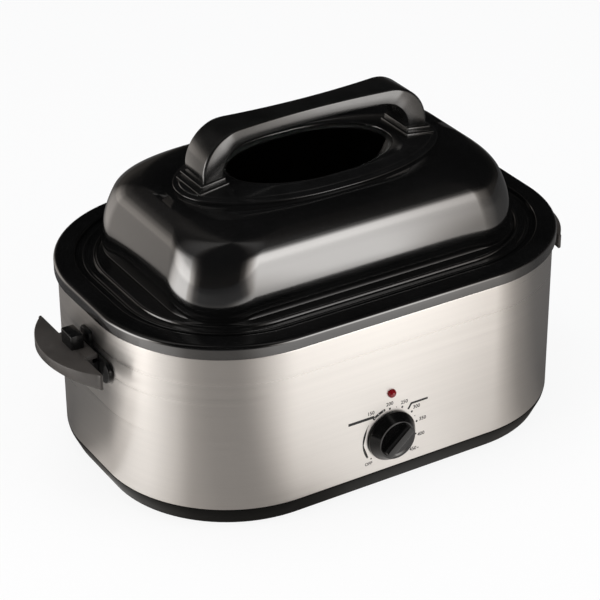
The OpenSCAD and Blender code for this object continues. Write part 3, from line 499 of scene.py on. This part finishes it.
# ============================================= thermostat knob and dial print
# A glossy black moulded knob on the thermostat's shaft: a tapered body with a
# shallow dished face and a bar across it, its pointer at OFF. Round it the
# scale is printed on the steel in black, with plain numbers in degrees.
off_angle, knob_r, knob_h, face_r, dish = 221.0, 28.4, 13.0, 21.4, 1.5
bar_up, bar_length, bar_foot, bar_top, bar_sunk = 6.5, 37.8, 6.6, 4.4, 1
knob_black = finish("knob_black", (0.002, 0.002, 0.002), (0.005, 0.005, 0.005), grain=900, patch=60,
                    rough=(0.05, 0.1), bump=0.03, IOR=1.6)
spring_steel = finish("spring_steel", (0.45, 0.45, 0.46), (0.6, 0.6, 0.6), grain=1200, patch=200,
                      rough=(0.2, 0.35), bump=0.05, stretch=(1, 1, 6), Metallic=1.0)
smoothed("thermostat_shaft", zinc, "knob")
dress(spring_steel, "knob_clip")
knob_body = np.vstack([
    [[0, knob_h - 3.5], [face_r - 5, knob_h - 3.5], [knob_r - 2, 1.0]],
    bend((knob_r - 0.5, 1.5), 0.5, -90, 0, 4), bend((knob_r - 0.9, 3.0), 0.9, 0, 45, 4),
    bend((face_r - 0.2, knob_h - 1.2), 1.2, 45, 100, 6),
    [[face_r - 1.6, knob_h - 0.1], [face_r - 2.6, knob_h - 0.5], [face_r - 4, knob_h - 1.1],
     [face_r - 6, knob_h - dish], [0, knob_h - dish]]])
skin("knob", turned_shape(knob_body, dial_z, turn=72), knob_black, "knob", ("control_knob",),
     closed=(False, True), sharp=35)


def knob_bar():
    """The bar across the knob: along it, s from -1 to 1, the half width is the foot's or the
    top's times (1 - s^8)^(1/8), and the height falls a little over the rounded end; each
    cross-section is a trapezoid with round shoulders. It is turned to the pointer's angle."""
    s = np.sin(np.linspace(-np.pi / 2, np.pi / 2, 41))
    full = np.maximum(np.clip(1 - np.abs(s) ** 8, 0, 1) ** (1 / 8), 0.02)
    side = np.array([[bar_foot, 0.0], [bar_foot * 0.97, 0.3], [bar_foot * 0.9, 0.62],
                     [bar_top + 0.35, 0.86], [bar_top + 0.1, 0.94], [bar_top - 0.3, 0.985],
                     [bar_top - 0.9, 1.0]])
    half = np.vstack([side, side[::-1] * [-1, 1]])
    tall = (bar_up + dish + bar_sunk) * (0.9 + 0.1 * full)
    u = (s * bar_length / 2)[:, None]
    v = full[:, None] * half[None, :, 0]
    w = knob_h - dish - bar_sunk + tall[:, None] * half[None, :, 1]
    a = math.radians(off_angle)
    x = dial_x + u * math.cos(a) - v * math.sin(a)
    z = dial_z + u * math.sin(a) + v * math.cos(a)
    return columns(x, front_y - w, z)


skin("knob_grip_bar", knob_bar(), knob_black, "knob", closed=(False, True), caps=True, sharp=35)

ink = finish("scale_ink", (0.004, 0.004, 0.004), (0.012, 0.012, 0.012), grain=2500, patch=150,
             rough=(0.4, 0.6), bump=0.1)
pale_ink = finish("bar_dots", (0.5, 0.49, 0.46), (0.66, 0.65, 0.62), grain=2500, patch=150,
                  rough=(0.4, 0.6), bump=0.1)
ink_out, dots_out, numbers_out = 0.06, 0.11, 0.04
mark_r, bar_r, bar_w, left_line_w, right_line_w = 32.6, 33.9, 3.0, 3.2, 2.4


def on_scale(angle, radius):
    """A place on the front panel in (right, up), from its angle and radius about the knob."""
    a = math.radians(angle)
    return np.array([dial_x + radius * math.cos(a), dial_z + radius * math.sin(a)])


def flat_print(name, outlines, material, proud):
    """Ink on the panel: each closed outline of (right, up) points is filled, and stands
    proud of the steel by the ink's own thickness."""
    shape = bmesh.new()
    for outline in outlines:
        shape.faces.new([shape.verts.new((x / 1000, (front_y - proud) / 1000, z / 1000)) for x, z in outline])
    bmesh.ops.triangulate(shape, faces=shape.faces)
    for face in shape.faces:
        if face.normal.y > 0:
            face.normal_flip()
    mesh = bpy.data.meshes.new(name)
    shape.to_mesh(mesh)
    shape.free()
    mesh.materials.append(material)
    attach(in_scene(name, mesh), "base")


def dot(place, r, sides, tall=1.0):
    """A small round or diamond mark about a place."""
    a = np.linspace(0, 2 * np.pi, sides, endpoint=False)
    return columns(place[0] + r * np.cos(a), place[1] + r * tall * np.sin(a))


def band(start, stop, radius, wide_a, wide_b):
    """A strip along an arc about the knob, whose width runs from one value to another."""
    a, w = np.linspace(start, stop, 24), np.linspace(wide_a, wide_b, 24)
    outer = np.array([on_scale(t, radius + k / 2) for t, k in zip(a, w)])
    inner = np.array([on_scale(t, radius - k / 2) for t, k in zip(a, w)])
    return np.vstack([outer, inner[::-1]])


# Marks are (angle, radius). Numbers are (text, angle, distance, height), and a digit stands
# 0.7 of its font's size.
marks = ((221.3, 0.9), (93.2, 1.25), (78.8, 0.6), (65.5, 1.25), (38, 1.25), (24.5, 0.6), (10.7, 1.25),
         (-16.7, 1.1), (-44, 1.1))
numbers = (("150", 126.5, 42.6, 4.1), ("200", 93.2, 38.4, 4.1), ("250", 65.5, 38.6, 4.1),
           ("300", 38, 40.0, 4.1), ("350", 10.7, 40.2, 4.1), ("400", -16.7, 39.6, 4.1),
           ("450", -44, 39.0, 4.1), ("o", -38.5, 44.0, 2.2), ("OFF", 224.5, 38.6, 3.7))
digit_share = 0.7
left_bend, right_start = on_scale(131, bar_r), on_scale(51.4, 32.0)
printed = [dot(on_scale(angle, mark_r), r, 8, 1.1) for angle, r in marks]
printed += [band(143, 213.7, 34.5, 0.5, 2.0), band(103, 131, bar_r, bar_w, bar_w),
            with_thickness([left_bend + [1.2, 1.6], left_bend + [-30.5, 1.6]], left_line_w),
            with_thickness([right_start, right_start + [4.3, 6.7], right_start + [25.5, 6.7]], right_line_w)]
flat_print("scale", printed, ink, ink_out)
flat_print("scale_dots", [dot(on_scale(a, bar_r), 0.7, 10) for a in (107, 117.5, 127)], pale_ink, dots_out)
for text, angle, radius, size in numbers:
    letters = bpy.data.curves.new("number_" + text, "FONT")
    letters.body, letters.size = text, size / 1000 / digit_share
    letters.align_x, letters.align_y = "CENTER", "CENTER"
    letters.extrude, letters.offset, letters.resolution_u = 0.00003, 0.00011, 4
    drawn = in_scene("number", letters)
    bpy.context.view_layer.update()
    mesh = bpy.data.meshes.new_from_object(drawn.evaluated_get(bpy.context.evaluated_depsgraph_get()))
    bpy.data.objects.remove(drawn)
    x, z = on_scale(angle, radius)
    at_place = Matrix.Translation((x / 1000, (front_y - numbers_out) / 1000, z / 1000))
    mesh.transform(at_place @ Matrix.Rotation(math.pi / 2, 4, "X"))
    mesh.materials.clear()
    mesh.materials.append(ink)
    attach(in_scene("degree_mark" if text == "o" else "number_" + text, mesh), "base")

# =============================================================== side handles
# Two moulded half-moon grips of warm black plastic, each on a bracket with
# three ribs and a raised lug that the lid's edge can rest against. Each is
# bolted through a glossy backing plate that follows the curved steel.
grip_black = finish("grip_black", (0.035, 0.031, 0.028), (0.062, 0.056, 0.051), grain=1400, patch=45,
                    rough=(0.28, 0.42), bump=0.16)
plate_black = finish("plate_black", (0.003, 0.003, 0.003), (0.007, 0.007, 0.007), grain=900, patch=70,
                     rough=(0.12, 0.2), bump=0.05)
grip_x, grip_z, grip_half, grip_depth, grip_t = 284.5, 170.0, 71.3, 31.5, 11.0
chord, tip_more = 72.5, 6.7
arc_r = (chord ** 2 + grip_depth ** 2) / (2 * grip_depth)
belly_r = (chord ** 2 + tip_more ** 2) / (2 * tip_more)
bracket_x, bracket_half, z_bracket, rib_steps = 269.3, 30, 142.2, 5
plate_half, plate_r, z_plate = 52.0, 13.5, grip_z - 3.5


def rounded_block(low, high, r):
    """Rows for a box from low to high with every edge rounded by r: over a quarter turn b
    the outline is drawn in by r (1 - sin b) while z moves r (1 - cos b) from its face, at
    the bottom and again at the top."""
    low, high = np.asarray(low, float), np.asarray(high, float)
    b = np.radians(np.linspace(0, 90, 5))
    inset = np.concatenate([r * (1 - np.sin(b)), (r * (1 - np.sin(b)))[::-1]])
    z = np.concatenate([low[2] + r * (1 - np.cos(b)), (high[2] - r * (1 - np.cos(b)))[::-1]])
    half = (high - low)[:2] / 2
    return columns(half[0] - r, half[1] - r, r - inset + 1e-4, r - inset + 1e-4, z)


def block(name, low, high, r, material, side):
    """A rounded box on the base as a piece, on the +x or the -x side."""
    grid = lofted(rounded_block(low, high, r), turn=4, middle=mid_y + (low[1] + high[1]) / 2)
    grid[..., 0] = side * (grid[..., 0] + (low[0] + high[0]) / 2)
    skin(name, grid, material, "base", closed=(False, True), caps=True)


def grip(side):
    """A half-moon grip: at each place y along it a closed section runs from the straight
    inner edge x = 284.5 out to the arc x = centre + sqrt(R^2 - y^2), with its top at 170
    and its underside on an arc that is 11 below it in the middle and 17.5 at the tips.
    The section's corners are rounded, more at the top of the outer edge."""
    y = np.concatenate([[-grip_half], np.linspace(-grip_half + 0.6, grip_half - 0.6, 79), [grip_half]])
    reach = grip_x + grip_depth - arc_r + np.sqrt(arc_r ** 2 - y ** 2)
    under = grip_z - grip_t - belly_r + np.sqrt(belly_r ** 2 - y ** 2)
    draw = np.where(np.abs(y) > grip_half - 0.3, 0.6, 0.0)
    x0, x1 = grip_x + draw, np.maximum(reach - draw, grip_x + 3.2)
    z0, z1 = under + draw, grip_z - draw
    corners = ((x1, z1, 1, 1, 1.3), (x0, z1, -1, 1, 1.0), (x0, z0, -1, -1, 1.0), (x1, z0, 1, -1, 1.0))
    points = []
    for quarter, (x, z, sx, sz, r) in enumerate(corners):
        a = np.radians(90 * quarter + np.linspace(0, 90, 5))[:, None]
        points.append(columns(x - sx * r + r * np.cos(a), y, z - sz * r + r * np.sin(a)))
    return np.concatenate(points).transpose(1, 0, 2) * [side, 1, 1] + [0, mid_y, 0]


def plate(side):
    """A wavy backing plate: its outline, in (y, z), is two round ends of radius 13.5 joined
    by a straight foot, and a tongue 20 wide that rises from the top with hollow corners of
    radius 5. The front is drawn in over a rounded edge; the back follows the steel."""
    half = np.vstack([bend((plate_half - plate_r, z_plate - plate_r), plate_r, -90, 90, 14),
                      bend((15, z_plate + 5), 5, 270, 180, 6), bend((7, z_plate + 15), 3, 0, 90, 5)])
    path = np.vstack([half, half[::-1] * [-1, 1]])
    path = path[np.linalg.norm(np.diff(path, axis=0, append=path[:1]), axis=1) > 1e-6]
    ahead, behind = np.roll(path, -1, 0) - path, path - np.roll(path, 1, 0)
    n = ahead / np.linalg.norm(ahead, axis=1)[:, None] + behind / np.linalg.norm(behind, axis=1)[:, None]
    n = np.stack([n[:, 1], -n[:, 0]], -1) / np.linalg.norm(n, axis=1)[:, None]
    past_core = np.clip(np.abs(path[:, 0]) - core_y, 0, None)
    rows = [np.column_stack([core_x + 0.15 + np.sqrt(corner_r ** 2 - past_core ** 2), path])]
    for inset, x in ((0, 268.0), (0.15, 268.5), (0.5, 268.9), (1.1, 269.1)):
        rows.append(np.column_stack([np.full(len(path), x), path - n * inset]))
    return np.stack(rows) * [side, 1, 1] + [0, mid_y, 0]


for side, hand in ((-1, "left"), (1, "right")):
    skin(hand + "_grip", grip(side), grip_black, "base", (hand + "_handle",), closed=(False, True),
         caps=True)
    block(hand + "_lid_rest", (275.5, -12, grip_z - 1), (290, 12, grip_z + 16), 1.4, plate_black, side)
    block(hand + "_arm", (bracket_x, -bracket_half, grip_z - grip_t),
          (grip_x + 2, bracket_half, grip_z - 0.6), 1.2, grip_black, side)
    block(hand + "_bracket", (bracket_x, -bracket_half, z_bracket),
          (277.2, bracket_half, grip_z - 4), 1.2, plate_black, side)
    for i, y in enumerate((-28, 0, 28)):
        deep = np.linspace(1.0, 7.0, rib_steps)
        rib = columns(deep - 0.5, 1.5, 0.5, 0.5, np.linspace(z_bracket + 2, grip_z - 5, rib_steps))
        rib = lofted(rib, turn=3, middle=mid_y + y)
        rib[..., 0] = side * (rib[..., 0] + 276 + deep[:, None])
        skin(f"{hand}_rib_{i}", rib, plate_black, "base", closed=(False, True), caps=True)
    skin(hand + "_plate", plate(side), plate_black, "base", (hand + "_handle_plate",),
         closed=(False, True), caps=True)
dress(zinc, "side_handle_bolts")

# =============================================================== roasting pan
# The lift-out pan is drawn from one sheet and enamelled black. Its rim turns
# over the shell's edge, and a recess inside the rim holds the lid's flange.
enamel = finish("black_enamel", (0.002, 0.002, 0.002), (0.005, 0.005, 0.005), grain=260, patch=14,
                rough=(0.06, 0.1), bump=0.02, IOR=2.2)
lip_r, flat_r, recess_r, pan_r, pan_t = 147.5, 127.0, 106.0, 100.0, 1.2
z_top, z_recess, z_flange, z_pan = 219.5, 214.5, 206.2, 49.5
roll_r, step_r, mouth_r, sole_r = 3.4, 1.0, 4, 20
path = np.vstack([
    [[lip_r, z_flange + 0.1]], bend((lip_r - roll_r, z_top - roll_r), roll_r, 0, 90, 12),
    [[flat_r + 6, z_top], [flat_r + 1.2, z_top]], bend((flat_r + step_r, z_top - step_r), step_r, 90, 180, 5),
    bend((flat_r - step_r, z_recess + step_r), step_r, 0, -90, 5),
    [[flat_r - 8, z_recess], [recess_r, z_recess]],
    bend((pan_r + mouth_r, z_recess - mouth_r), mouth_r, 90, 176, 8),
    bend((pan_r - 10 - sole_r, z_pan + sole_r), sole_r, -4, -90, 14)])
rows = round_body(with_thickness(path, pan_t))
floor = np.array([[core_x, core_y, 2, 2, z_pan], [core_x * 0.5, core_y * 0.5, 1, 1, z_pan],
                  [0, 0, 0.3, 0.3, z_pan]])
underside = floor[::-1] - [0, 0, 0, 0, pan_t]
rows = np.vstack([rows[:len(path)], floor, underside, rows[len(path):]])
skin("pan", lofted(rows), enamel, "pan", ("roasting_pan",), sharp=40)

# ================================================================== wire rack
# A frame of plated wire with thirteen bars and two lengthwise ones stands in
# the pan on four short legs, with an upright loop to lift it at each end.
chrome = finish("chromed_wire", (0.62, 0.62, 0.63), (0.74, 0.74, 0.75), grain=900, patch=80,
                rough=(0.08, 0.18), bump=0.03, Metallic=1.0)
smoothed("roasting_rack", chrome, "rack")
smoothed("rack_handles", chrome, "rack")

# ============================================================== lid, one sheet
# The high lid is drawn from one sheet with a rolled edge, a raised bead and a
# valley on its flange, and enamelled glossy black. Two slots let steam out.
lid_enamel = finish("lid_enamel", (0.002, 0.002, 0.002), (0.005, 0.005, 0.005), grain=260, patch=9,
                    rough=(0.09, 0.13), bump=0.015, IOR=2.3)
lid_r, bead_r, skirt_r, z_lid = 118.5, 105.0, 98.0, z_recess + 0.3
base_l, base_w, base_r, edge_l, edge_w, edge_r = 205.5, 128.5, 64, 188, 116, 66
z_base, wall_up, crown_up, wall_bow, crown_bow = z_lid + 4.7, 79.1, 9.2, 1.5, 4.5
ring_a, ring_b, z_ring = 156.6, 80.4, z_base + wall_up + crown_up
wall_end, crown_start = 1 - 14.5 / wall_up, 14.5 / 31.4
wall_steps, shoulder_steps, crown_steps = 22, 15, 12
slot_l, slot_w, slot_up, slot_r = 9, 1.5, 24, 0.7
key_base = np.array([base_l - base_r, base_w - base_r, base_r, base_r, z_base])
key_edge = np.array([edge_l - edge_r, edge_w - edge_r, edge_r, edge_r, z_base + wall_up])


def oval(a, b, z):
    """An oval row: nearly an ellipse, with straights 20 long and 3 wide."""
    return np.array([10, 1.5, a - 10, b - 1.5, z])


def wall_row(u):
    """A row of the wall, u from the flange to the shoulder: mixed from base to edge by u^2,
    bowed out by 1.5 x 4u(1 - u), and its height even in u."""
    row = key_base + (key_edge - key_base) * u * u
    row[2:4] += wall_bow * 4 * u * (1 - u)
    row[4] = key_base[4] + (key_edge[4] - key_base[4]) * u
    return row


def crown_row(u):
    """A row of the crown, u from the edge to the ring, raised by 4.5 x 4u(1 - u)."""
    row = key_edge + (oval(ring_a, ring_b, z_ring) - key_edge) * u
    row[4] += crown_bow * 4 * u * (1 - u)
    return row


def shoulder_row(u):
    """A row of the shoulder: a quadratic curve from the wall, by the edge, to the crown."""
    first, last = wall_row(wall_end), crown_row(crown_start)
    return (first * (1 - u) + key_edge * u) * (1 - u) + (key_edge * (1 - u) + last * u) * u


round_it = np.linspace(0, 1, shoulder_steps)[1:-1]
face = [wall_row(u) for u in np.linspace(0, wall_end, wall_steps)]
face += [shoulder_row(u) for u in round_it]
face += [crown_row(u) for u in np.linspace(crown_start, 1, crown_steps)]
face += [oval(92.5, 52, z_ring + 1.4)]
# The sheet is 1 thick: its inside is drawn in on the wall and lowered on the crown.
lowered = np.concatenate([np.zeros(wall_steps), round_it, np.ones(crown_steps + 1)])
inner = [row - np.array([0, 0, 1 - d, 1 - d, d]) for row, d in zip(face, lowered)]
flange = np.vstack([
    bend((lid_r - 1.6, z_lid + 1.7), 1.6, -90, 90, 10),
    [[lid_r - 3.2, z_lid + 3.1], [lid_r - 4.2, z_lid + 2.5], [lid_r - 5.2, z_lid + 2.2],
     [bead_r + 2.2, z_lid + 2.2]],
    bend((bead_r + 0.2, z_lid + 3.0), 1.5, 20, 160, 8),
    [[bead_r - 2.0, z_lid + 2.9], [bead_r - 3, z_lid + 2.8]]])
valley = [face[0] + np.array([0, 0, 1.6, 1.6, -0.6]), face[0] + np.array([0, 0, 0.5, 0.5, -0.2])]
under_flange = [(skirt_r - 1, z_lid + 1.2), (skirt_r - 1, z_lid - 7), (skirt_r, z_lid - 7),
                (skirt_r, z_lid + 0.8), (lid_r - 2.4, z_lid + 0.8), (lid_r - 2.4, z_lid + 0.1)]
lid_rows = np.vstack([round_body(flange), valley, face, inner[::-1], round_body(under_flange)])
lid = skin("lid", lofted(lid_rows, turn=40), lid_enamel, "lid", ("lid_dome",),
           sharp=40)
for s in (-1, 1):
    slot_rows = rounded_block((-slot_l / 2, -slot_w / 2, 0), (slot_l / 2, slot_w / 2, slot_up), slot_r)
    cutter = lofted(slot_rows, turn=4) + [s * (ring_a + 13.6), 0, z_ring - 14]
    tool = skin("slot_tool", cutter, lid_enamel, "lid", closed=(False, True), caps=True)
    hollow = lid.modifiers.new("slot", "BOOLEAN")
    hollow.operation, hollow.object, hollow.solver = "DIFFERENCE", tool, "EXACT"
    cut = bpy.data.meshes.new_from_object(lid.evaluated_get(bpy.context.evaluated_depsgraph_get()))
    lid.modifiers.clear()
    lid.data = cut
    bpy.data.objects.remove(tool)

# ===================================================================== window
# A moulded oval frame seats on the crown and holds an oval pane of clear
# tempered glass down on a rubber gasket round the lid's opening.
frame_black = finish("frame_black", (0.003, 0.003, 0.003), (0.007, 0.007, 0.007), grain=900, patch=40,
                     rough=(0.08, 0.16), bump=0.05, IOR=1.8)
gasket_grey = finish("gasket_grey", (0.03, 0.03, 0.03), (0.06, 0.06, 0.058), grain=1600, patch=80,
                     rough=(0.6, 0.8), bump=0.2)
glass = finish("window_glass", (0.9, 0.93, 0.92), (0.97, 0.985, 0.98), grain=60, patch=8,
               rough=(0.0, 0.02), bump=0.004, IOR=1.5, Transmission_Weight=1.0)
smoothed("window_gasket", gasket_grey, "lid")
seat_a, seat_b, step_a, step_b = ring_a - 1.5, ring_b - 1.5, ring_a - 7.8, ring_b - 10.0
lap_a, lap_b, z_frame, z_lap = 98.0, 57.5, 316.4, 314.5
glass_a, glass_b, z_glass, glass_t, glass_edge = 102.5, 62.0, 310.8, 3.6, 0.5
flat_a, flat_b = 110.25, lap_b + (step_b - lap_b) * 0.4
# The rows run from the seat up over a rounded edge and a step, in to the lap and back under.
frame_rows = [(seat_a, seat_b, z_ring + 0.15), (seat_a, seat_b, z_ring + 1.6)]
frame_rows += [(seat_a - 1.6 * r, seat_b - 1.6 * r, z_ring + 1.6 + 1.5 * h)
               for r, h in ((0.08, 0.38), (0.3, 0.7), (0.62, 0.92), (1.0, 1.0))]
frame_rows += [(step_a + a, step_b + b, z_ring + up)
               for a, b, up in ((0.5, 0.5, 3.35), (0.1, 0.1, 3.5), (-0.2, -0.2, 4.1),
                                (-0.7, -0.6, 4.5), (-1.4, -1.1, 4.7), (-2.4, -1.6, 4.8))]
frame_rows += [(flat_a, flat_b, z_frame - 0.3)]
frame_rows += [(lap_a + out, lap_b + out, z_frame - down)
               for out, down in ((1.8, 0.02), (1.0, 0.1), (0.4, 0.4), (0, 1.0))]
frame_rows += [(lap_a, lap_b, z_lap), (glass_a + 0.5, glass_b + 0.5, z_lap),
               (glass_a + 0.5, glass_b + 0.5, z_ring + 1.5)]
skin("window_rim", lofted([oval(*row) for row in frame_rows], turn=40), frame_black, "lid",
     ("window_frame",), sharp=35)
pane = [oval(glass_a - inset, glass_b - inset, z_glass + up) for inset, up in
        ((glass_edge, 0), (0, glass_edge), (0, glass_t - glass_edge), (glass_edge, glass_t))]
skin("window_pane", lofted(pane, turn=40), glass, "lid", ("window_glass",), closed=(False, True),
     caps=True)

# ========================================= lid handle, collars and its screws
# A moulded arch stands on two stepped collars, which follow the slope of the
# frame. Screws from inside the lid pull the arch down through the collars.
handle_black = finish("handle_black", (0.003, 0.003, 0.003), (0.008, 0.008, 0.0075), grain=800, patch=30,
                      rough=(0.1, 0.2), bump=0.06, IOR=1.9)
leg_x, leg_t, leg_w, waist_w, waist_half, bar_h = 135.95, 24.7, 42.0, 28.0, 103.95, 17.5
outer_r, inner_r, edge_round, leg_steps, bar_steps = 45.4, 30.0, 3.0, 7, 28
z_handle, z_foot, foot_x, foot_tilt, collar_h = 373.2, 314.5, 123.6, math.radians(8), 9.2


def arch():
    """The handle. Its outer and inner lines run up a leg, round a bend, along the bar and
    down the other leg; at each place the section spans from one line to the other, and w(x)
    either side, where w falls from 21 at a leg to 14 in the middle on a circle. Corners are
    rounded by 3, and the feet are cut by the collars' tilted tops."""
    t = np.radians(np.linspace(0, 90, 19))
    leg_z = z_ring - 6 + (z_handle - outer_r - z_ring + 6) * np.linspace(0, 1, leg_steps + 1)[:-1]
    lines = []
    for x, z, r in ((-leg_x, z_handle, outer_r), (-leg_x + leg_t, z_handle - bar_h, inner_r)):
        half = np.vstack([columns(x, leg_z), columns(x + r - r * np.cos(t), z - r + r * np.sin(t))])
        bar = columns(np.linspace(x + r, -x - r, bar_steps + 2)[1:-1], z)
        lines.append(np.vstack([half, bar, (half * [-1, 1])[::-1]]))
    outer, inner = lines
    deep = np.linalg.norm(inner - outer, axis=1)
    across = (inner - outer) / deep[:, None]
    waist = (leg_w - waist_w) / 2
    big = (waist_half ** 2 + waist ** 2) / (2 * waist)
    corners = ((1, edge_round), (1, deep - edge_round), (-1, deep - edge_round), (-1, edge_round))
    points = []
    for quarter, (sy, centre) in enumerate(corners):
        for a in np.radians(90 * quarter + np.linspace(0, 90, 6)):
            place = outer + across * np.reshape(centre - edge_round * np.cos(a), (-1, 1))
            mid = np.abs(place[:, 0])
            narrow = waist_w / 2 + big - np.sqrt(np.maximum(big ** 2 - mid ** 2, 0))
            w = np.minimum(np.where(mid < waist_half, narrow, leg_w / 2), leg_w / 2)
            y = sy * (w - edge_round) + edge_round * np.sin(a)
            points.append(columns(place[:, 0], y + mid_y, place[:, 1]))
    grid = np.stack(points, 1)
    for s, leg in ((-1, grid[:leg_steps]), (1, grid[-leg_steps:][::-1])):
        collar_top = z_foot + (collar_h + 0.1) / math.cos(foot_tilt)
        cut = collar_top - (s * leg[..., 0] - foot_x) * math.tan(foot_tilt)
        leg[..., 2] = cut + (leg[-1, :, 2] - cut) * np.linspace(0, 1, leg_steps)[:, None]
    return grid


skin("lid_handle_arch", arch(), handle_black, "lid", ("lid_handle",), closed=(False, True), caps=True,
     sharp=38)

x0, x1, w = -(leg_t / 2 + 3.5), leg_t / 2 + 7.6, (leg_w + 9) / 2
collar_levels = (("lower", (x0, -w, -2.0), (x1, w, collar_h * 0.35), 1.1),
                 ("upper", (x0 + 2, -w + 2.5, 0), (x1 - 4.4, w - 2.5, collar_h), 1.3))
for s, hand in ((-1, "left"), (1, "right")):
    for level, low, high, r in collar_levels:
        grid = lofted(rounded_block(low, high, r), turn=5)
        x, z = grid[..., 0] + (low[0] + high[0]) / 2, grid[..., 2].copy()
        grid[..., 0] = s * (foot_x + x * math.cos(foot_tilt) + z * math.sin(foot_tilt))
        grid[..., 2] = z_foot - x * math.sin(foot_tilt) + z * math.cos(foot_tilt)
        skin(f"{hand}_collar_{level}", grid, handle_black, "lid",
             ("handle_collars",) if (hand, level) == ("left", "lower") else (), closed=(False, True),
             caps=True, sharp=38)
dress(zinc, "handle_screws")

low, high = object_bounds()
